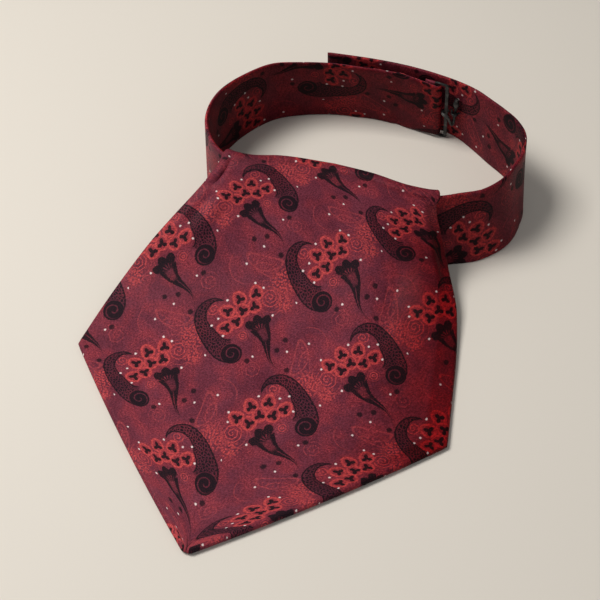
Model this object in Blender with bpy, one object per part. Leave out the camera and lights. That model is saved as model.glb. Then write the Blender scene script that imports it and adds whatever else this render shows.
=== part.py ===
"""A silk day cravat, laid down as if just taken off.

A five-sided blade folds over the top edge of the front of a plain neckband.
The band stands on its edge as an oval ring, and its two ends pass each other
at the back, where a black slide, hook and eye join them. Lengths are in
millimetres until a mesh is made. In the tables Y runs from the tip of the
blade to the back of the ring, X is to the right and Z is up.
"""

from collections import namedtuple
import math

import bmesh
import bpy
import numpy as np

MM = 0.001
GAP = 0.3

# Driving sizes
BLADE_TO_BACK = 245.5
BAND_HEIGHT = 36.0
BAND_WALL = 1.6
BLADE_WALL_FOLD = 2.0
BLADE_WALL_FLAT = 3.0
BLADE_HANG = 20.0
ORIGIN_Y = BLADE_TO_BACK / 2
ORIGIN_X = 0.3

# The blade's wall grows from the fold's to the flat part's between these
# distances along the cloth from the fold.
WALL_GROWS_FROM = 15.0
WALL_GROWS_TO = 75.0

# Neckband: the top edge's centre line, and how far the foot stands outside it
BandRow = namedtuple("BandRow", "head_x head_y lean pinch")
LEFT_BAND = (
    BandRow(-0.15, 166.2, 3.0, 0.0),
    BandRow(-22.0, 163.6, 2.0, 0.0),
    BandRow(-35.0, 159.9, 1.0, 0.0),
    BandRow(-44.6, 160.2, 0.5, 0.0),
    BandRow(-51.5, 164.4, 0.5, 0.0),
    BandRow(-56.6, 170.3, 0.8, 0.0),
    BandRow(-60.4, 177.0, 0.8, 0.0),
    BandRow(-62.6, 186.0, 0.0, 0.0),
    BandRow(-62.2, 196.0, -0.8, 0.0),
    BandRow(-56.6, 209.2, 0.8, 0.0),
    BandRow(-45.5, 222.0, 3.1, 0.0),
    BandRow(-34.7, 227.1, 5.2, 0.0),
    BandRow(-24.5, 230.4, 6.1, 0.0),
    BandRow(-13.6, 232.6, 6.8, 0.0),
    BandRow(-2.9, 233.8, 7.0, 0.0),
    BandRow(10.0, 234.0, 6.2, 0.0),
    BandRow(19.0, 233.4, 5.6, 0.9),
    BandRow(26.0, 232.6, 5.4, 1.8),
)
RIGHT_BAND = (
    BandRow(0.15, 166.2, 3.0, 0.0),
    BandRow(16.0, 166.0, 3.4, 0.0),
    BandRow(33.0, 164.2, 4.4, 0.0),
    BandRow(44.5, 165.6, 5.6, 0.0),
    BandRow(52.5, 170.2, 6.4, 0.0),
    BandRow(60.6, 175.8, 6.8, 0.0),
    BandRow(67.2, 184.2, 6.8, 0.0),
    BandRow(70.1, 195.2, 5.8, 0.0),
    BandRow(71.2, 204.5, 3.6, 0.0),
    BandRow(69.8, 213.4, 1.6, 0.0),
    BandRow(65.0, 220.2, 0.8, 0.0),
    BandRow(57.8, 225.8, 0.9, 0.0),
    BandRow(46.6, 232.8, 1.6, 0.0),
    BandRow(35.6, 236.9, 4.2, 0.0),
    BandRow(26.0, 238.9, 5.2, 0.0),
    BandRow(13.1, 240.1, 4.4, 0.0),
    BandRow(-4.7, 239.8, 4.6, 0.0),
    BandRow(-15.6, 238.7, 4.6, 0.0),
    BandRow(-25.7, 237.4, 4.4, 0.0),
)

# Blade: where its left edge, middle and right edge run after the fold, by the
# distance along the cloth from the fold. The last row is at the two corners.
BladeRow = namedtuple(
    "BladeRow",
    "along left_x left_y left_z middle_y middle_z right_x right_y right_z",
)
BLADE_ROWS = (
    BladeRow(5.0, -46.4, 152.5, 36.0, 162.7, 35.6, 45.6, 161.6, 35.0),
    BladeRow(11.0, -48.9, 148.5, 33.0, 158.6, 31.6, 47.5, 158.1, 29.8),
    BladeRow(20.0, -53.0, 141.8, 28.3, 151.9, 25.2, 51.2, 154.3, 22.6),
    BladeRow(33.0, -58.9, 131.9, 22.0, 141.2, 17.2, 56.5, 148.8, 13.2),
    BladeRow(46.0, -64.6, 122.0, 15.3, 129.3, 10.0, 62.0, 139.0, 6.3),
    BladeRow(60.0, -69.3, 110.5, 9.0, 115.9, 4.9, 66.2, 125.5, 2.9),
    BladeRow(77.0, -73.2, 94.5, 4.4, 99.5, 2.1, 70.0, 108.0, 1.5),
    BladeRow(100.0, -76.0, 72.8, 1.5, 73.0, 1.5, 75.9, 73.2, 1.5),
)
FRONT_ENDS_Y = 185.0
RIDGE_LEFT_X = -44.6
RIDGE_RIGHT_X = 44.4
ROLL_EXIT_DEGREES = (72.0, 45.0, 34.0)
TIP_HALF_WIDTH = 1.0
TIP_ROUND = 0.1
POINT_EDGE_BOW = 1.3
LIES_FLAT_BELOW = 0.1
# The fold follows the band's own bends, which fade out this far down the blade.
WAVE_FADES_BY = 45.0

# Large folds of the blade, raised from the middle of its wall
Fold = namedtuple("Fold", "across half_width rise starts ends")
BLADE_FOLDS = (
    Fold(0.82, 0.20, 2.4, 8.0, 80.0),
    Fold(-0.80, 0.11, 1.3, 6.0, 58.0),
    Fold(-0.93, 0.06, -1.3, 5.0, 18.0),
    Fold(0.42, 0.20, 0.9, 22.0, 78.0),
)

# The hang, the fold and the slope join where the cloth has turned this far.
MEAN_ROLL_DEGREES = 135.0
FOLD_EASE = 0.1

# The band in section: shares of its half wall to the side and of its height
SectionPoint = namedtuple("SectionPoint", "side rise")
BAND_SECTION = (
    SectionPoint(0.55, 0.0),
    SectionPoint(1.0, 0.013),
    SectionPoint(1.0, 0.5),
    SectionPoint(1.0, 0.987),
    SectionPoint(0.5, 1.0),
    SectionPoint(-0.5, 1.0),
    SectionPoint(-1.0, 0.987),
    SectionPoint(-1.0, 0.5),
    SectionPoint(-1.0, 0.013),
    SectionPoint(-0.55, 0.0),
)

# Mesh steps
BAND_STEP = 4.2
BLADE_COLUMNS = 26
HANG_STEPS = 3
ROLL_STEPS = 8
SLOPE_STEPS = 20
POINT_STEPS = 12
RIM_DEGREES = (45.0, 0.0, -45.0)
SHARP_DEGREES = 60.0
# How much closer the columns lie at the blade's edges, and its rows at the fold
EDGE_CROWDING = 0.38
FOLD_CROWDING = 0.45

# Clasp: a flat slide, a hook bent from round wire, and a wire eye
SLIDE_WIRE = 0.8
SLIDE_BAR = 1.6
SLIDE_WIDTH = 6.8
SLIDE_SET_BACK = (SLIDE_BAR - SLIDE_WIRE) / 2
SLIDE_BASE = 0.35
SLIDE_TOP = BAND_HEIGHT - 0.2
SLIDE_RAIL = 1.0
SLIDE_CORNER = 1.0
OUTER_BAR = SLIDE_WIDTH - SLIDE_BAR - SLIDE_SET_BACK
TURN_BACK = 6.0
LOOP_STEPS = 6
LOOP_RADIUS = SLIDE_WIRE / 2 + GAP + BAND_WALL / 2
HOOK_WIRE = 1.1
EYE_WIRE = 0.9
EYE_PLAY = 0.1
EYE_BESIDE = 3.9
EYE_HEIGHT = 18.0
WIRE_STEPS = 3

# The hook's route: how far beside the outer bar, how high and how far behind
# the slide's plane it runs, and how much its wire swells
WirePoint = namedtuple("WirePoint", "beside height depth swell")
HOOK_ROUTE = (
    WirePoint(0.9, 17.4, 1.35, 1.0),
    WirePoint(-0.6, 17.4, 1.35, 1.0),
    WirePoint(-1.65, 17.3, 0.3, 1.0),
    WirePoint(-1.45, 17.2, -0.75, 1.0),
    WirePoint(-0.3, 17.0, -1.35, 1.0),
    WirePoint(1.6, 15.6, -1.15, 1.0),
    WirePoint(2.6, 11.4, -0.3, 1.0),
    WirePoint(3.1, 10.3, 0.2, 1.0),
    WirePoint(3.5, 11.6, 0.6, 1.0),
    WirePoint(3.8, 16.0, 0.8, 1.0),
    WirePoint(4.1, 20.5, 0.9, 1.0),
    WirePoint(4.3, 24.0, 0.8, 1.9),
    WirePoint(4.4, 27.2, 0.7, 1.2),
)
# The eye's staple, as shares of its reach to each side and depths
EyePoint = namedtuple("EyePoint", "side depth")
EYE_ROUTE = (
    EyePoint(-1.4, 2.0),
    EyePoint(-1.0, 1.0),
    EyePoint(-0.7, -0.25),
    EyePoint(0.0, -0.7),
    EyePoint(0.7, -0.25),
    EyePoint(1.0, 1.0),
    EyePoint(1.4, 1.5),
)

Finish = namedtuple("Finish", "name color roughness metallic")
SILK = Finish("wine jacquard silk", (0.165, 0.022, 0.034, 1.0), 0.45, 0.0)
BLACK_METAL = Finish("black lacquered metal", (0.02, 0.02, 0.022, 1.0), 0.35, 0.6)


def smooth(knots, values, at):
    """Values between the knots, on a cubic that passes through every one."""
    knots = np.asarray(knots, float)
    values = np.asarray(values, float)
    slopes = np.gradient(values, knots, axis=0)
    low = np.clip(np.searchsorted(knots, at, side="right") - 1, 0, len(knots) - 2)
    step = knots[low + 1] - knots[low]
    f = (at - knots[low]) / step
    if values.ndim > 1:
        f = f[:, None]
        step = step[:, None]
    start = (1 + 2 * f) * (1 - f) ** 2 * values[low]
    start = start + f * (1 - f) ** 2 * step * slopes[low]
    end = f**2 * (3 - 2 * f) * values[low + 1]
    return start + end + f**2 * (f - 1) * step * slopes[low + 1]


def ease(low, high, at):
    """A soft step from 0 at low to 1 at high."""
    f = np.clip((at - low) / (high - low), 0.0, 1.0)
    return f * f * (3 - 2 * f)


def unit(vectors):
    """Vectors brought to length 1 along their last axis."""
    return vectors / np.linalg.norm(vectors, axis=-1, keepdims=True)


def add_object(name, verts, faces, finish):
    """One closed mesh object, moved to the part's origin, in metres."""
    points = (np.asarray(verts, float) - (ORIGIN_X, ORIGIN_Y, 0.0)) * MM
    mesh = bpy.data.meshes.new(name)
    mesh.from_pydata(points.tolist(), [], faces)
    mesh.validate()
    made = bmesh.new()
    made.from_mesh(mesh)
    bmesh.ops.recalc_face_normals(made, faces=made.faces)
    made.to_mesh(mesh)
    made.free()
    mesh.shade_smooth()
    mesh.set_sharp_from_angle(angle=math.radians(SHARP_DEGREES))
    mesh.materials.append(material(finish))
    bpy.context.scene.collection.objects.link(bpy.data.objects.new(name, mesh))


def material(finish):
    """The Principled material of a finish, made once."""
    made = bpy.data.materials.get(finish.name)
    if made:
        return made
    made = bpy.data.materials.new(finish.name)
    made.use_nodes = True
    shader = made.node_tree.nodes["Principled BSDF"]
    shader.inputs["Base Color"].default_value = finish.color
    shader.inputs["Roughness"].default_value = finish.roughness
    shader.inputs["Metallic"].default_value = finish.metallic
    made.diffuse_color = finish.color
    return made


def band_lines(rows, turn):
    """Stations along one half of the band.

    Gives the top edge's points, the foot's points, the pinch and the outward
    direction at each. turn is 1 for the half that runs off to the left from
    the front seam and -1 for the half that runs off to the right.
    """
    table = np.array(rows, float)
    lengths = np.linalg.norm(np.diff(table[:, :2], axis=0), axis=1)
    knots = np.concatenate([[0.0], np.cumsum(lengths)])
    count = int(round(knots[-1] / BAND_STEP)) + 1
    at = np.linspace(0.0, knots[-1], count)
    values = smooth(knots, table, at)
    head = values[:, :2]
    ahead = unit(np.gradient(head, axis=0))
    outward = turn * np.stack([-ahead[:, 1], ahead[:, 0]], axis=1)
    outward[0] = (0.0, -1.0)
    foot = head + values[:, 2:3] * outward
    return head, foot, np.maximum(values[:, 3], 0.0), outward


def turned_end(head, foot, pinch, outward):
    """The lines with the cloth's end carried round the slide's bar and back."""
    ahead = unit(head[-1] - head[-2])
    out = outward[-1]
    angles = np.linspace(0.0, math.pi, LOOP_STEPS + 1)[1:]
    lines = []
    for line in (head, foot):
        centre = line[-1] + LOOP_RADIUS * out
        round_bar = [
            centre + LOOP_RADIUS * (math.sin(a) * ahead - math.cos(a) * out)
            for a in angles
        ]
        back = [round_bar[-1] - f * TURN_BACK * ahead for f in (0.5, 1.0)]
        lines.append(np.vstack([line, round_bar, back]))
    extra = len(lines[0]) - len(head)
    pinch = np.concatenate([pinch, np.full(extra, pinch[-1])])
    directions = [math.cos(a) * out - math.sin(a) * ahead for a in angles]
    directions = directions + [-out, -out]
    return lines[0], lines[1], pinch, np.vstack([outward, directions])


def strip_mesh(head, foot, pinch, outward):
    """A standing strip of cloth with rounded edges, one ring a station."""
    verts = []
    for top, base, narrow, out in zip(head, foot, pinch, outward):
        lean = np.linalg.norm(top - base)
        tall = math.sqrt(BAND_HEIGHT**2 - lean**2)
        for side, rise in BAND_SECTION:
            share = (narrow + rise * (tall - 2 * narrow)) / tall
            place = base + share * (top - base) + side * BAND_WALL / 2 * out
            verts.append((place[0], place[1], share * tall))
    size = len(BAND_SECTION)
    faces = [tuple(range(size)), tuple(range(len(verts) - size, len(verts)))]
    for row in range(len(head) - 1):
        for k in range(size):
            a = row * size + k
            b = row * size + (k + 1) % size
            faces.append((a, b, b + size, a + size))
    return verts, faces


def neckband():
    """Both halves of the band."""
    left = turned_end(*band_lines(LEFT_BAND, 1))
    add_object("neckband_left", *strip_mesh(*left), SILK)
    right = band_lines(RIGHT_BAND, -1)
    add_object("neckband_right", *strip_mesh(*right), SILK)


def ridge_centres(across):
    """Where the blade's roll is centred, and its way out over the front."""
    left = band_lines(LEFT_BAND, 1)
    right = band_lines(RIGHT_BAND, -1)
    head = np.vstack([left[0][::-1], right[0]])
    foot = np.vstack([left[1][::-1], right[1]])
    front = head[:, 1] < FRONT_ENDS_Y
    head, foot = head[front], foot[front]
    lean = np.linalg.norm(head - foot, axis=1)
    tall = np.sqrt(BAND_HEIGHT**2 - lean**2)
    x = RIDGE_LEFT_X + (RIDGE_RIGHT_X - RIDGE_LEFT_X) * (across + 1) / 2
    y = np.interp(x, head[:, 0], head[:, 1])
    z = np.interp(x, head[:, 0], tall) - BAND_WALL / 2
    along = unit(np.stack([np.gradient(x), np.gradient(y)], axis=1))
    out = np.stack([along[:, 1], -along[:, 0]], axis=1)
    return np.stack([x, y, z], axis=1), out


def through_three(left, middle, right, across):
    """The value on the parabola through three columns at -1, 0 and 1."""
    tilt = (right - left) / 2
    bend = (right + left) / 2 - middle
    return middle + tilt * across + bend * across**2


def blade_columns():
    """How far across each column lies, closer together towards the edges."""
    even = np.linspace(-1.0, 1.0, BLADE_COLUMNS + 1)
    crowded = np.sin(even * math.pi / 2)
    return (1 - EDGE_CROWDING) * even + EDGE_CROWDING * crowded


def blade_middle(across):
    """The middle of the blade's wall: rows of points, and each row's distance
    along the cloth from the top of the fold."""
    inset = BLADE_WALL_FLAT / 2
    centres, out = ridge_centres(across)
    radius = BAND_WALL / 2 + GAP + FOLD_EASE + BLADE_WALL_FOLD / 2
    exits = through_three(*ROLL_EXIT_DEGREES, across)
    up = np.array([0.0, 0.0, 1.0])
    outward = np.concatenate([out, np.zeros((len(out), 1))], axis=1)
    rows = []
    along = []
    for f in np.linspace(1.0, 0.0, HANG_STEPS + 1)[:-1]:
        rows.append(centres - radius * outward - f * BLADE_HANG * up)
        along.append(-f * BLADE_HANG - radius * math.pi / 2)
    for f in np.linspace(0.0, 1.0, ROLL_STEPS + 1):
        angle = np.radians(f * (180.0 - exits))[:, None]
        turned = np.sin(angle) * up - np.cos(angle) * outward
        rows.append(centres + radius * turned)
        along.append(radius * (math.radians(f * MEAN_ROLL_DEGREES) - math.pi / 2))
    ridge_y = centres[:, 1]
    half_way = ridge_y[len(ridge_y) // 2]
    wave = ridge_y - through_three(ridge_y[0], half_way, ridge_y[-1], across)
    table = np.array(BLADE_ROWS, float)
    starts = np.linspace(0.0, 1.0, SLOPE_STEPS + 1)
    span = table[-1, 0] - table[0, 0]
    at = table[0, 0] + span * ((1 - FOLD_CROWDING) * starts + FOLD_CROWDING * starts**2)
    for line in smooth(table[:, 0], table, at):
        row = BladeRow(*line)
        left_x = row.left_x + inset
        right_x = row.right_x - inset
        x = through_three(left_x, (left_x + right_x) / 2, right_x, across)
        y = through_three(row.left_y, row.middle_y, row.right_y, across)
        y = y + wave * (1 - ease(0.0, WAVE_FADES_BY, row.along))
        z = through_three(row.left_z, row.middle_z, row.right_z, across)
        rows.append(np.stack([x, y, z], axis=1))
        along.append(row.along)
    corner = rows[-1]
    tip_y = inset + TIP_ROUND
    tip = corner.copy()
    tip[:, 0] = TIP_HALF_WIDTH * across
    tip[:, 1] = tip_y
    for f in np.linspace(0.0, 1.0, POINT_STEPS + 1)[1:]:
        row = corner + f * (tip - corner)
        bow = POINT_EDGE_BOW * 2 * f * (1 - f) * math.sqrt(2)
        row[:, 0] += bow * across
        row[:, 1] -= bow * across**2
        rows.append(row)
        along.append(table[-1, 0] + f * (corner[0, 1] - tip_y))
    return np.array(rows), np.array(along)


def grid_normals(points):
    """The upward normal at each point of a grid of rows and columns."""
    down = np.gradient(points, axis=0)
    side = np.gradient(points, axis=1)
    return unit(np.cross(down, side))


def blade_wall(along):
    """How thick the blade is at each row."""
    grown = ease(WALL_GROWS_FROM, WALL_GROWS_TO, along)
    return BLADE_WALL_FOLD + (BLADE_WALL_FLAT - BLADE_WALL_FOLD) * grown


def fold_rise(across, along):
    """How far the large folds lift the blade at each point of its grid."""
    rise = np.zeros((len(along), len(across)))
    for fold in BLADE_FOLDS:
        nearness = np.clip(1 - np.abs(across - fold.across) / fold.half_width, 0, 1)
        middle = (fold.starts + fold.ends) / 2
        runs = ease(fold.starts, middle, along) * (1 - ease(middle, fold.ends, along))
        rise += fold.rise * runs[:, None] * ease(0.0, 1.0, nearness)[None, :]
    return rise


def ring_of(rows, columns):
    """The grid places round a grid's edge, in order."""
    ring = [(0, c) for c in range(columns)]
    ring += [(r, columns - 1) for r in range(1, rows)]
    ring += [(rows - 1, c) for c in range(columns - 2, -1, -1)]
    ring += [(r, 0) for r in range(rows - 2, 0, -1)]
    return ring


def rim_points(upper, lower, normals):
    """Rows of points that carry a wall's edge round from its top to its foot."""
    line = (upper + lower) / 2
    ahead = unit(np.roll(line, -1, axis=0) - np.roll(line, 1, axis=0))
    outward = unit(np.cross(normals, ahead))
    outside = np.sum(outward * (line - line.mean(axis=0)), axis=1)
    outward *= np.sign(outside)[:, None]
    lift = (upper - lower) / 2
    reach = np.linalg.norm(lift, axis=1)[:, None] * outward
    turns = [math.radians(degrees) for degrees in RIM_DEGREES]
    return [line + math.cos(a) * reach + math.sin(a) * lift for a in turns]


def blade():
    """The folded apron: a wall with a rolled edge all round."""
    across = blade_columns()
    middle, along = blade_middle(across)
    middle = middle + fold_rise(across, along)[..., None] * grid_normals(middle)
    normals = grid_normals(middle)
    half = (blade_wall(along) / 2)[:, None, None]
    top = middle + half * normals
    under = middle - half * normals
    under[..., 2] = np.where(under[..., 2] < LIES_FLAT_BELOW, 0.0, under[..., 2])
    rows, columns = middle.shape[:2]
    size = rows * columns
    verts = list(top.reshape(-1, 3)) + list(under.reshape(-1, 3))
    faces = []
    for r in range(rows - 1):
        for c in range(columns - 1):
            a = r * columns + c
            b = a + columns
            faces.append((a, b, b + 1, a + 1))
            faces.append((size + a, size + a + 1, size + b + 1, size + b))
    ring = ring_of(rows, columns)
    at = tuple(np.array(ring).T)
    places = [r * columns + c for r, c in ring]
    loops = [places]
    for points in rim_points(top[at], under[at], normals[at]):
        loops.append(list(range(len(verts), len(verts) + len(ring))))
        verts += list(points)
    loops.append([size + place for place in places])
    for upper, lower in zip(loops, loops[1:]):
        for k in range(len(ring)):
            n = (k + 1) % len(ring)
            faces.append((upper[k], upper[n], lower[n], lower[k]))
    add_object("blade", verts, faces, SILK)


def clasp_frame():
    """The clasp's own axes at the left half's end: its corner at the foot,
    then the ways along the band, up the slide's bar and out of the ring."""
    head, foot, _, outward = band_lines(LEFT_BAND, 1)
    out = np.append(outward[-1], 0.0)
    along = np.append(unit(head[-1] - head[-2]), 0.0)
    lean = np.linalg.norm(head[-1] - foot[-1])
    tall = math.sqrt(BAND_HEIGHT**2 - lean**2)
    low = np.append(foot[-1], 0.0) + LOOP_RADIUS * out
    high = np.append(head[-1], tall) + LOOP_RADIUS * out
    up = unit(high - low)
    return low, along, up, unit(np.cross(up, along))


def rounded_box(left, right, base, head, radius):
    """The points of an upright rectangle with rounded corners."""
    corners = (
        (right - radius, head - radius, 0),
        (left + radius, head - radius, 90),
        (left + radius, base + radius, 180),
        (right - radius, base + radius, 270),
    )
    ring = []
    for x, z, first in corners:
        for step in (0, 30, 60, 90):
            a = math.radians(first + step)
            ring.append((x + radius * math.cos(a), z + radius * math.sin(a)))
    return ring


def slide():
    """A flat frame whose inner bar lies in the loop of the cloth."""
    low, along, up, out = clasp_frame()
    left = -SLIDE_BAR / 2 - SLIDE_SET_BACK
    right = left + SLIDE_WIDTH
    rail = SLIDE_RAIL
    outer = rounded_box(left, right, SLIDE_BASE, SLIDE_TOP, SLIDE_CORNER)
    inner = rounded_box(
        left + SLIDE_BAR,
        right - SLIDE_BAR,
        SLIDE_BASE + rail,
        SLIDE_TOP - rail,
        SLIDE_CORNER / 2,
    )
    verts = []
    for ring in (outer, inner):
        for depth in (-SLIDE_WIRE / 2, SLIDE_WIRE / 2):
            verts += [low + x * along + z * up + depth * out for x, z in ring]
    size = len(outer)
    faces = []
    for first, second in ((0, 1), (1, 3), (3, 2), (2, 0)):
        a, b = first * size, second * size
        for k in range(size):
            n = (k + 1) % size
            faces.append((a + k, a + n, b + n, b + k))
    add_object("clasp_slide", verts, faces, BLACK_METAL)


def wire(name, route, width):
    """A round wire along a route of points given in the clasp's own axes."""
    low, along, up, out = clasp_frame()
    curve = bpy.data.curves.new(name, "CURVE")
    curve.dimensions = "3D"
    curve.bevel_depth = width / 2 * MM
    curve.bevel_resolution = 2
    curve.use_fill_caps = True
    knots = np.arange(len(route), dtype=float)
    at = np.linspace(0, len(route) - 1, WIRE_STEPS * (len(route) - 1) + 1)
    line = smooth(knots, np.array(route), at)
    spline = curve.splines.new("POLY")
    spline.points.add(len(line) - 1)
    for point, (x, z, depth, swell) in zip(spline.points, line):
        place = low + x * along + z * up + depth * out
        place = (place - (ORIGIN_X, ORIGIN_Y, 0.0)) * MM
        point.co = (*place, 1.0)
        point.radius = swell
    curve.materials.append(material(BLACK_METAL))
    bpy.context.scene.collection.objects.link(bpy.data.objects.new(name, curve))


def hook():
    """A wire turned once round the slide's outer bar, then bent up to a knob."""
    route = [(OUTER_BAR + row.beside, *row[1:]) for row in HOOK_ROUTE]
    wire("clasp_hook", route, HOOK_WIRE)


def eye():
    """A staple of wire on the right half that holds the hook's leg."""
    reach = HOOK_WIRE / 2 + GAP + EYE_WIRE / 2 + EYE_PLAY
    middle = OUTER_BAR + EYE_BESIDE
    route = [
        (middle + row.side * reach, EYE_HEIGHT, row.depth, 1.0) for row in EYE_ROUTE
    ]
    wire("clasp_eye", route, EYE_WIRE)


def main():
    """Clear the scene and model the cravat."""
    for old in list(bpy.data.objects):
        bpy.data.objects.remove(old, do_unlink=True)
    neckband()
    blade()
    slide()
    hook()
    eye()


main()
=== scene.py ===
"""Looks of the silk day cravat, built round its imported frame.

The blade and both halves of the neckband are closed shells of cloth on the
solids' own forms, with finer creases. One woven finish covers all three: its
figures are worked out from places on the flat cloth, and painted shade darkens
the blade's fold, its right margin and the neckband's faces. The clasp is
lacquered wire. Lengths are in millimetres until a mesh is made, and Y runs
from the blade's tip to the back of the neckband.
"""

from __future__ import annotations

import logging
import math
from dataclasses import dataclass
from enum import Enum
from typing import NamedTuple, Sequence, Union

import bpy
import numpy as np
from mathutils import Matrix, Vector

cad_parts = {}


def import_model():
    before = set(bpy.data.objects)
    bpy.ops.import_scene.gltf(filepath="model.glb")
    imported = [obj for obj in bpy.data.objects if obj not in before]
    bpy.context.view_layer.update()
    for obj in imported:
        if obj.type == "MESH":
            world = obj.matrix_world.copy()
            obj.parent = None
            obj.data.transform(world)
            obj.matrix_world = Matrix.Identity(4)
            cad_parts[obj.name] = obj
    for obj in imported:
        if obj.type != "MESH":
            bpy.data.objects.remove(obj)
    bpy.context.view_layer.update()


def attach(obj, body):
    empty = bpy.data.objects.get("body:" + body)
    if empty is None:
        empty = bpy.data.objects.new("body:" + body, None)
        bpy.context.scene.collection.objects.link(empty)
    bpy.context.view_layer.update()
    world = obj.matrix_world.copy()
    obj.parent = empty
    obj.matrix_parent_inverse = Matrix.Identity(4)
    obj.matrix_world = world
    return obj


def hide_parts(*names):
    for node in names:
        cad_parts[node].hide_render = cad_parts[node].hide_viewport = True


MM = 0.001
# Where the part's own frame starts, from the middle of the blade's tip.
ORIGIN = np.array([0.3, 122.75, 0.0])
PLACE = "cloth_place"

Number = Union[int, float]
Color = tuple[float, float, float, float]
Array = np.ndarray
Lines = tuple[Array, Array, Array, Array]
Material = bpy.types.Material
Node = bpy.types.Node
Piece = bpy.types.Object
Socket = bpy.types.NodeSocket

log = logging.getLogger("cravat")


def smooth(knots: Array, values: Array, at: Array) -> Array:
    """Values between the knots, on a cubic that passes through every one.

    Args:
        knots: Rising places of the known rows.
        values: One row of values for each knot.
        at: The places to work out.

    Returns:
        One row of values for each place.
    """
    knots = np.asarray(knots, float)
    values = np.asarray(values, float)
    slopes = np.gradient(values, knots, axis=0)
    low = np.clip(np.searchsorted(knots, at, side="right") - 1, 0, len(knots) - 2)
    step = (knots[low + 1] - knots[low])[:, None]
    f = (at - knots[low])[:, None] / step
    start = (1 + 2 * f) * (1 - f) ** 2 * values[low]
    start = start + f * (1 - f) ** 2 * step * slopes[low]
    end = f**2 * (3 - 2 * f) * values[low + 1]
    return start + end + f**2 * (f - 1) * step * slopes[low + 1]


def ease(low: float, high: float, at: Array) -> Array:
    """A soft step from 0 at low to 1 at high."""
    f = np.clip((at - low) / (high - low), 0.0, 1.0)
    return f * f * (3 - 2 * f)


def unit(vectors: Array) -> Array:
    """Vectors brought to length 1 along their last axis."""
    return vectors / np.maximum(np.linalg.norm(vectors, axis=-1, keepdims=True), 1e-9)


def grid_normals(points: Array) -> Array:
    """The face-side normal at each point of a grid of rows and columns."""
    return unit(np.cross(np.gradient(points, axis=0), np.gradient(points, axis=1)))


def through_three(left: float, middle: float, right: float, across: Array) -> Array:
    """The value on the parabola through three columns at -1, 0 and 1.

    Args:
        left: The value at -1.
        middle: The value at 0.
        right: The value at 1.
        across: The places to work out.

    Returns:
        The value at each place.
    """
    tilt = (right - left) / 2
    bend = (right + left) / 2 - middle
    return middle + tilt * across + bend * across**2


def stand(name: str, data: bpy.types.ID) -> Piece:
    """Stands an object with the given mesh, curve, camera or lamp in the scene.

    Args:
        name: The object's name.
        data: Its mesh, curve, camera or lamp.

    Returns:
        The object.
    """
    body = bpy.data.objects.new(name, data)
    bpy.context.scene.collection.objects.link(body)
    return body


def add_mesh(
    name: str,
    points: Array,
    faces: Sequence[Sequence[int]],
    places: Array,
    finish: Material,
    layers: Sequence[int] | None = None,
) -> Piece:
    """A smooth mesh that knows where each corner lies on the woven pattern.

    Args:
        name: The piece's name.
        points: Its points in millimetres, with Y from the blade's tip.
        faces: The corners of each face.
        places: Layers of each point's place on the pattern in millimetres,
        and how much painted shade darkens the cloth there.
        finish: The material to dress it in.
        layers: Which layer of places each face takes, the first by default.

    Returns:
        The object, in the part's own frame.
    """
    mesh = bpy.data.meshes.new(name)
    mesh.from_pydata(((points - ORIGIN) * MM).tolist(), [], faces)
    mesh.shade_smooth()
    sizes = [len(face) for face in faces]
    chosen = np.repeat(layers if layers is not None else np.zeros(len(faces), int), sizes)
    corners = np.concatenate([np.asarray(face) for face in faces])
    place = mesh.attributes.new(PLACE, "FLOAT_VECTOR", "CORNER")
    place.data.foreach_set("vector", places[chosen, corners].astype(np.float32).ravel())
    mesh.materials.append(finish)
    return stand(name, mesh)


class Val:
    """A value socket that takes part in sums as a number would."""

    def __init__(self, net: Net, socket: Socket) -> None:
        """Wraps one output socket of a net's node."""
        self.net = net
        self.socket = socket

    def __add__(self, other: Term) -> Val:
        """self + other."""
        return self.net.math("ADD", self, other)

    __radd__ = __add__

    def __sub__(self, other: Term) -> Val:
        """self - other."""
        return self.net.math("SUBTRACT", self, other)

    def __rsub__(self, other: Term) -> Val:
        """other - self."""
        return self.net.math("SUBTRACT", other, self)

    def __mul__(self, other: Term) -> Val:
        """self * other."""
        return self.net.math("MULTIPLY", self, other)

    __rmul__ = __mul__

    def __truediv__(self, other: Term) -> Val:
        """self / other."""
        return self.net.math("DIVIDE", self, other)

    def __abs__(self) -> Val:
        """The size of the value without its sign."""
        return self.net.math("ABSOLUTE", self)

    def __lt__(self, other: Term) -> Val:
        """1 where self is less than other."""
        return self.net.math("LESS_THAN", self, other)

    def times_add(self, factor: Term, term: Term, clamp: bool = False) -> Val:
        """self * factor + term in one node."""
        return self.net.math("MULTIPLY_ADD", self, factor, term, clamp=clamp)

    def below(self, edge: float, blur: float) -> Val:
        """A mask that is 1 where the value is under the edge.

        Args:
            edge: Where the mask is one half.
            blur: How wide its soft border is.

        Returns:
            The mask, from 0 to 1.
        """
        return self.times_add(-1 / blur, edge / blur + 0.5, clamp=True)

    def above(self, edge: float, blur: float) -> Val:
        """A mask that is 1 where the value is over the edge."""
        return self.times_add(1 / blur, 0.5 - edge / blur, clamp=True)


Term = Union[Val, Number]


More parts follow.
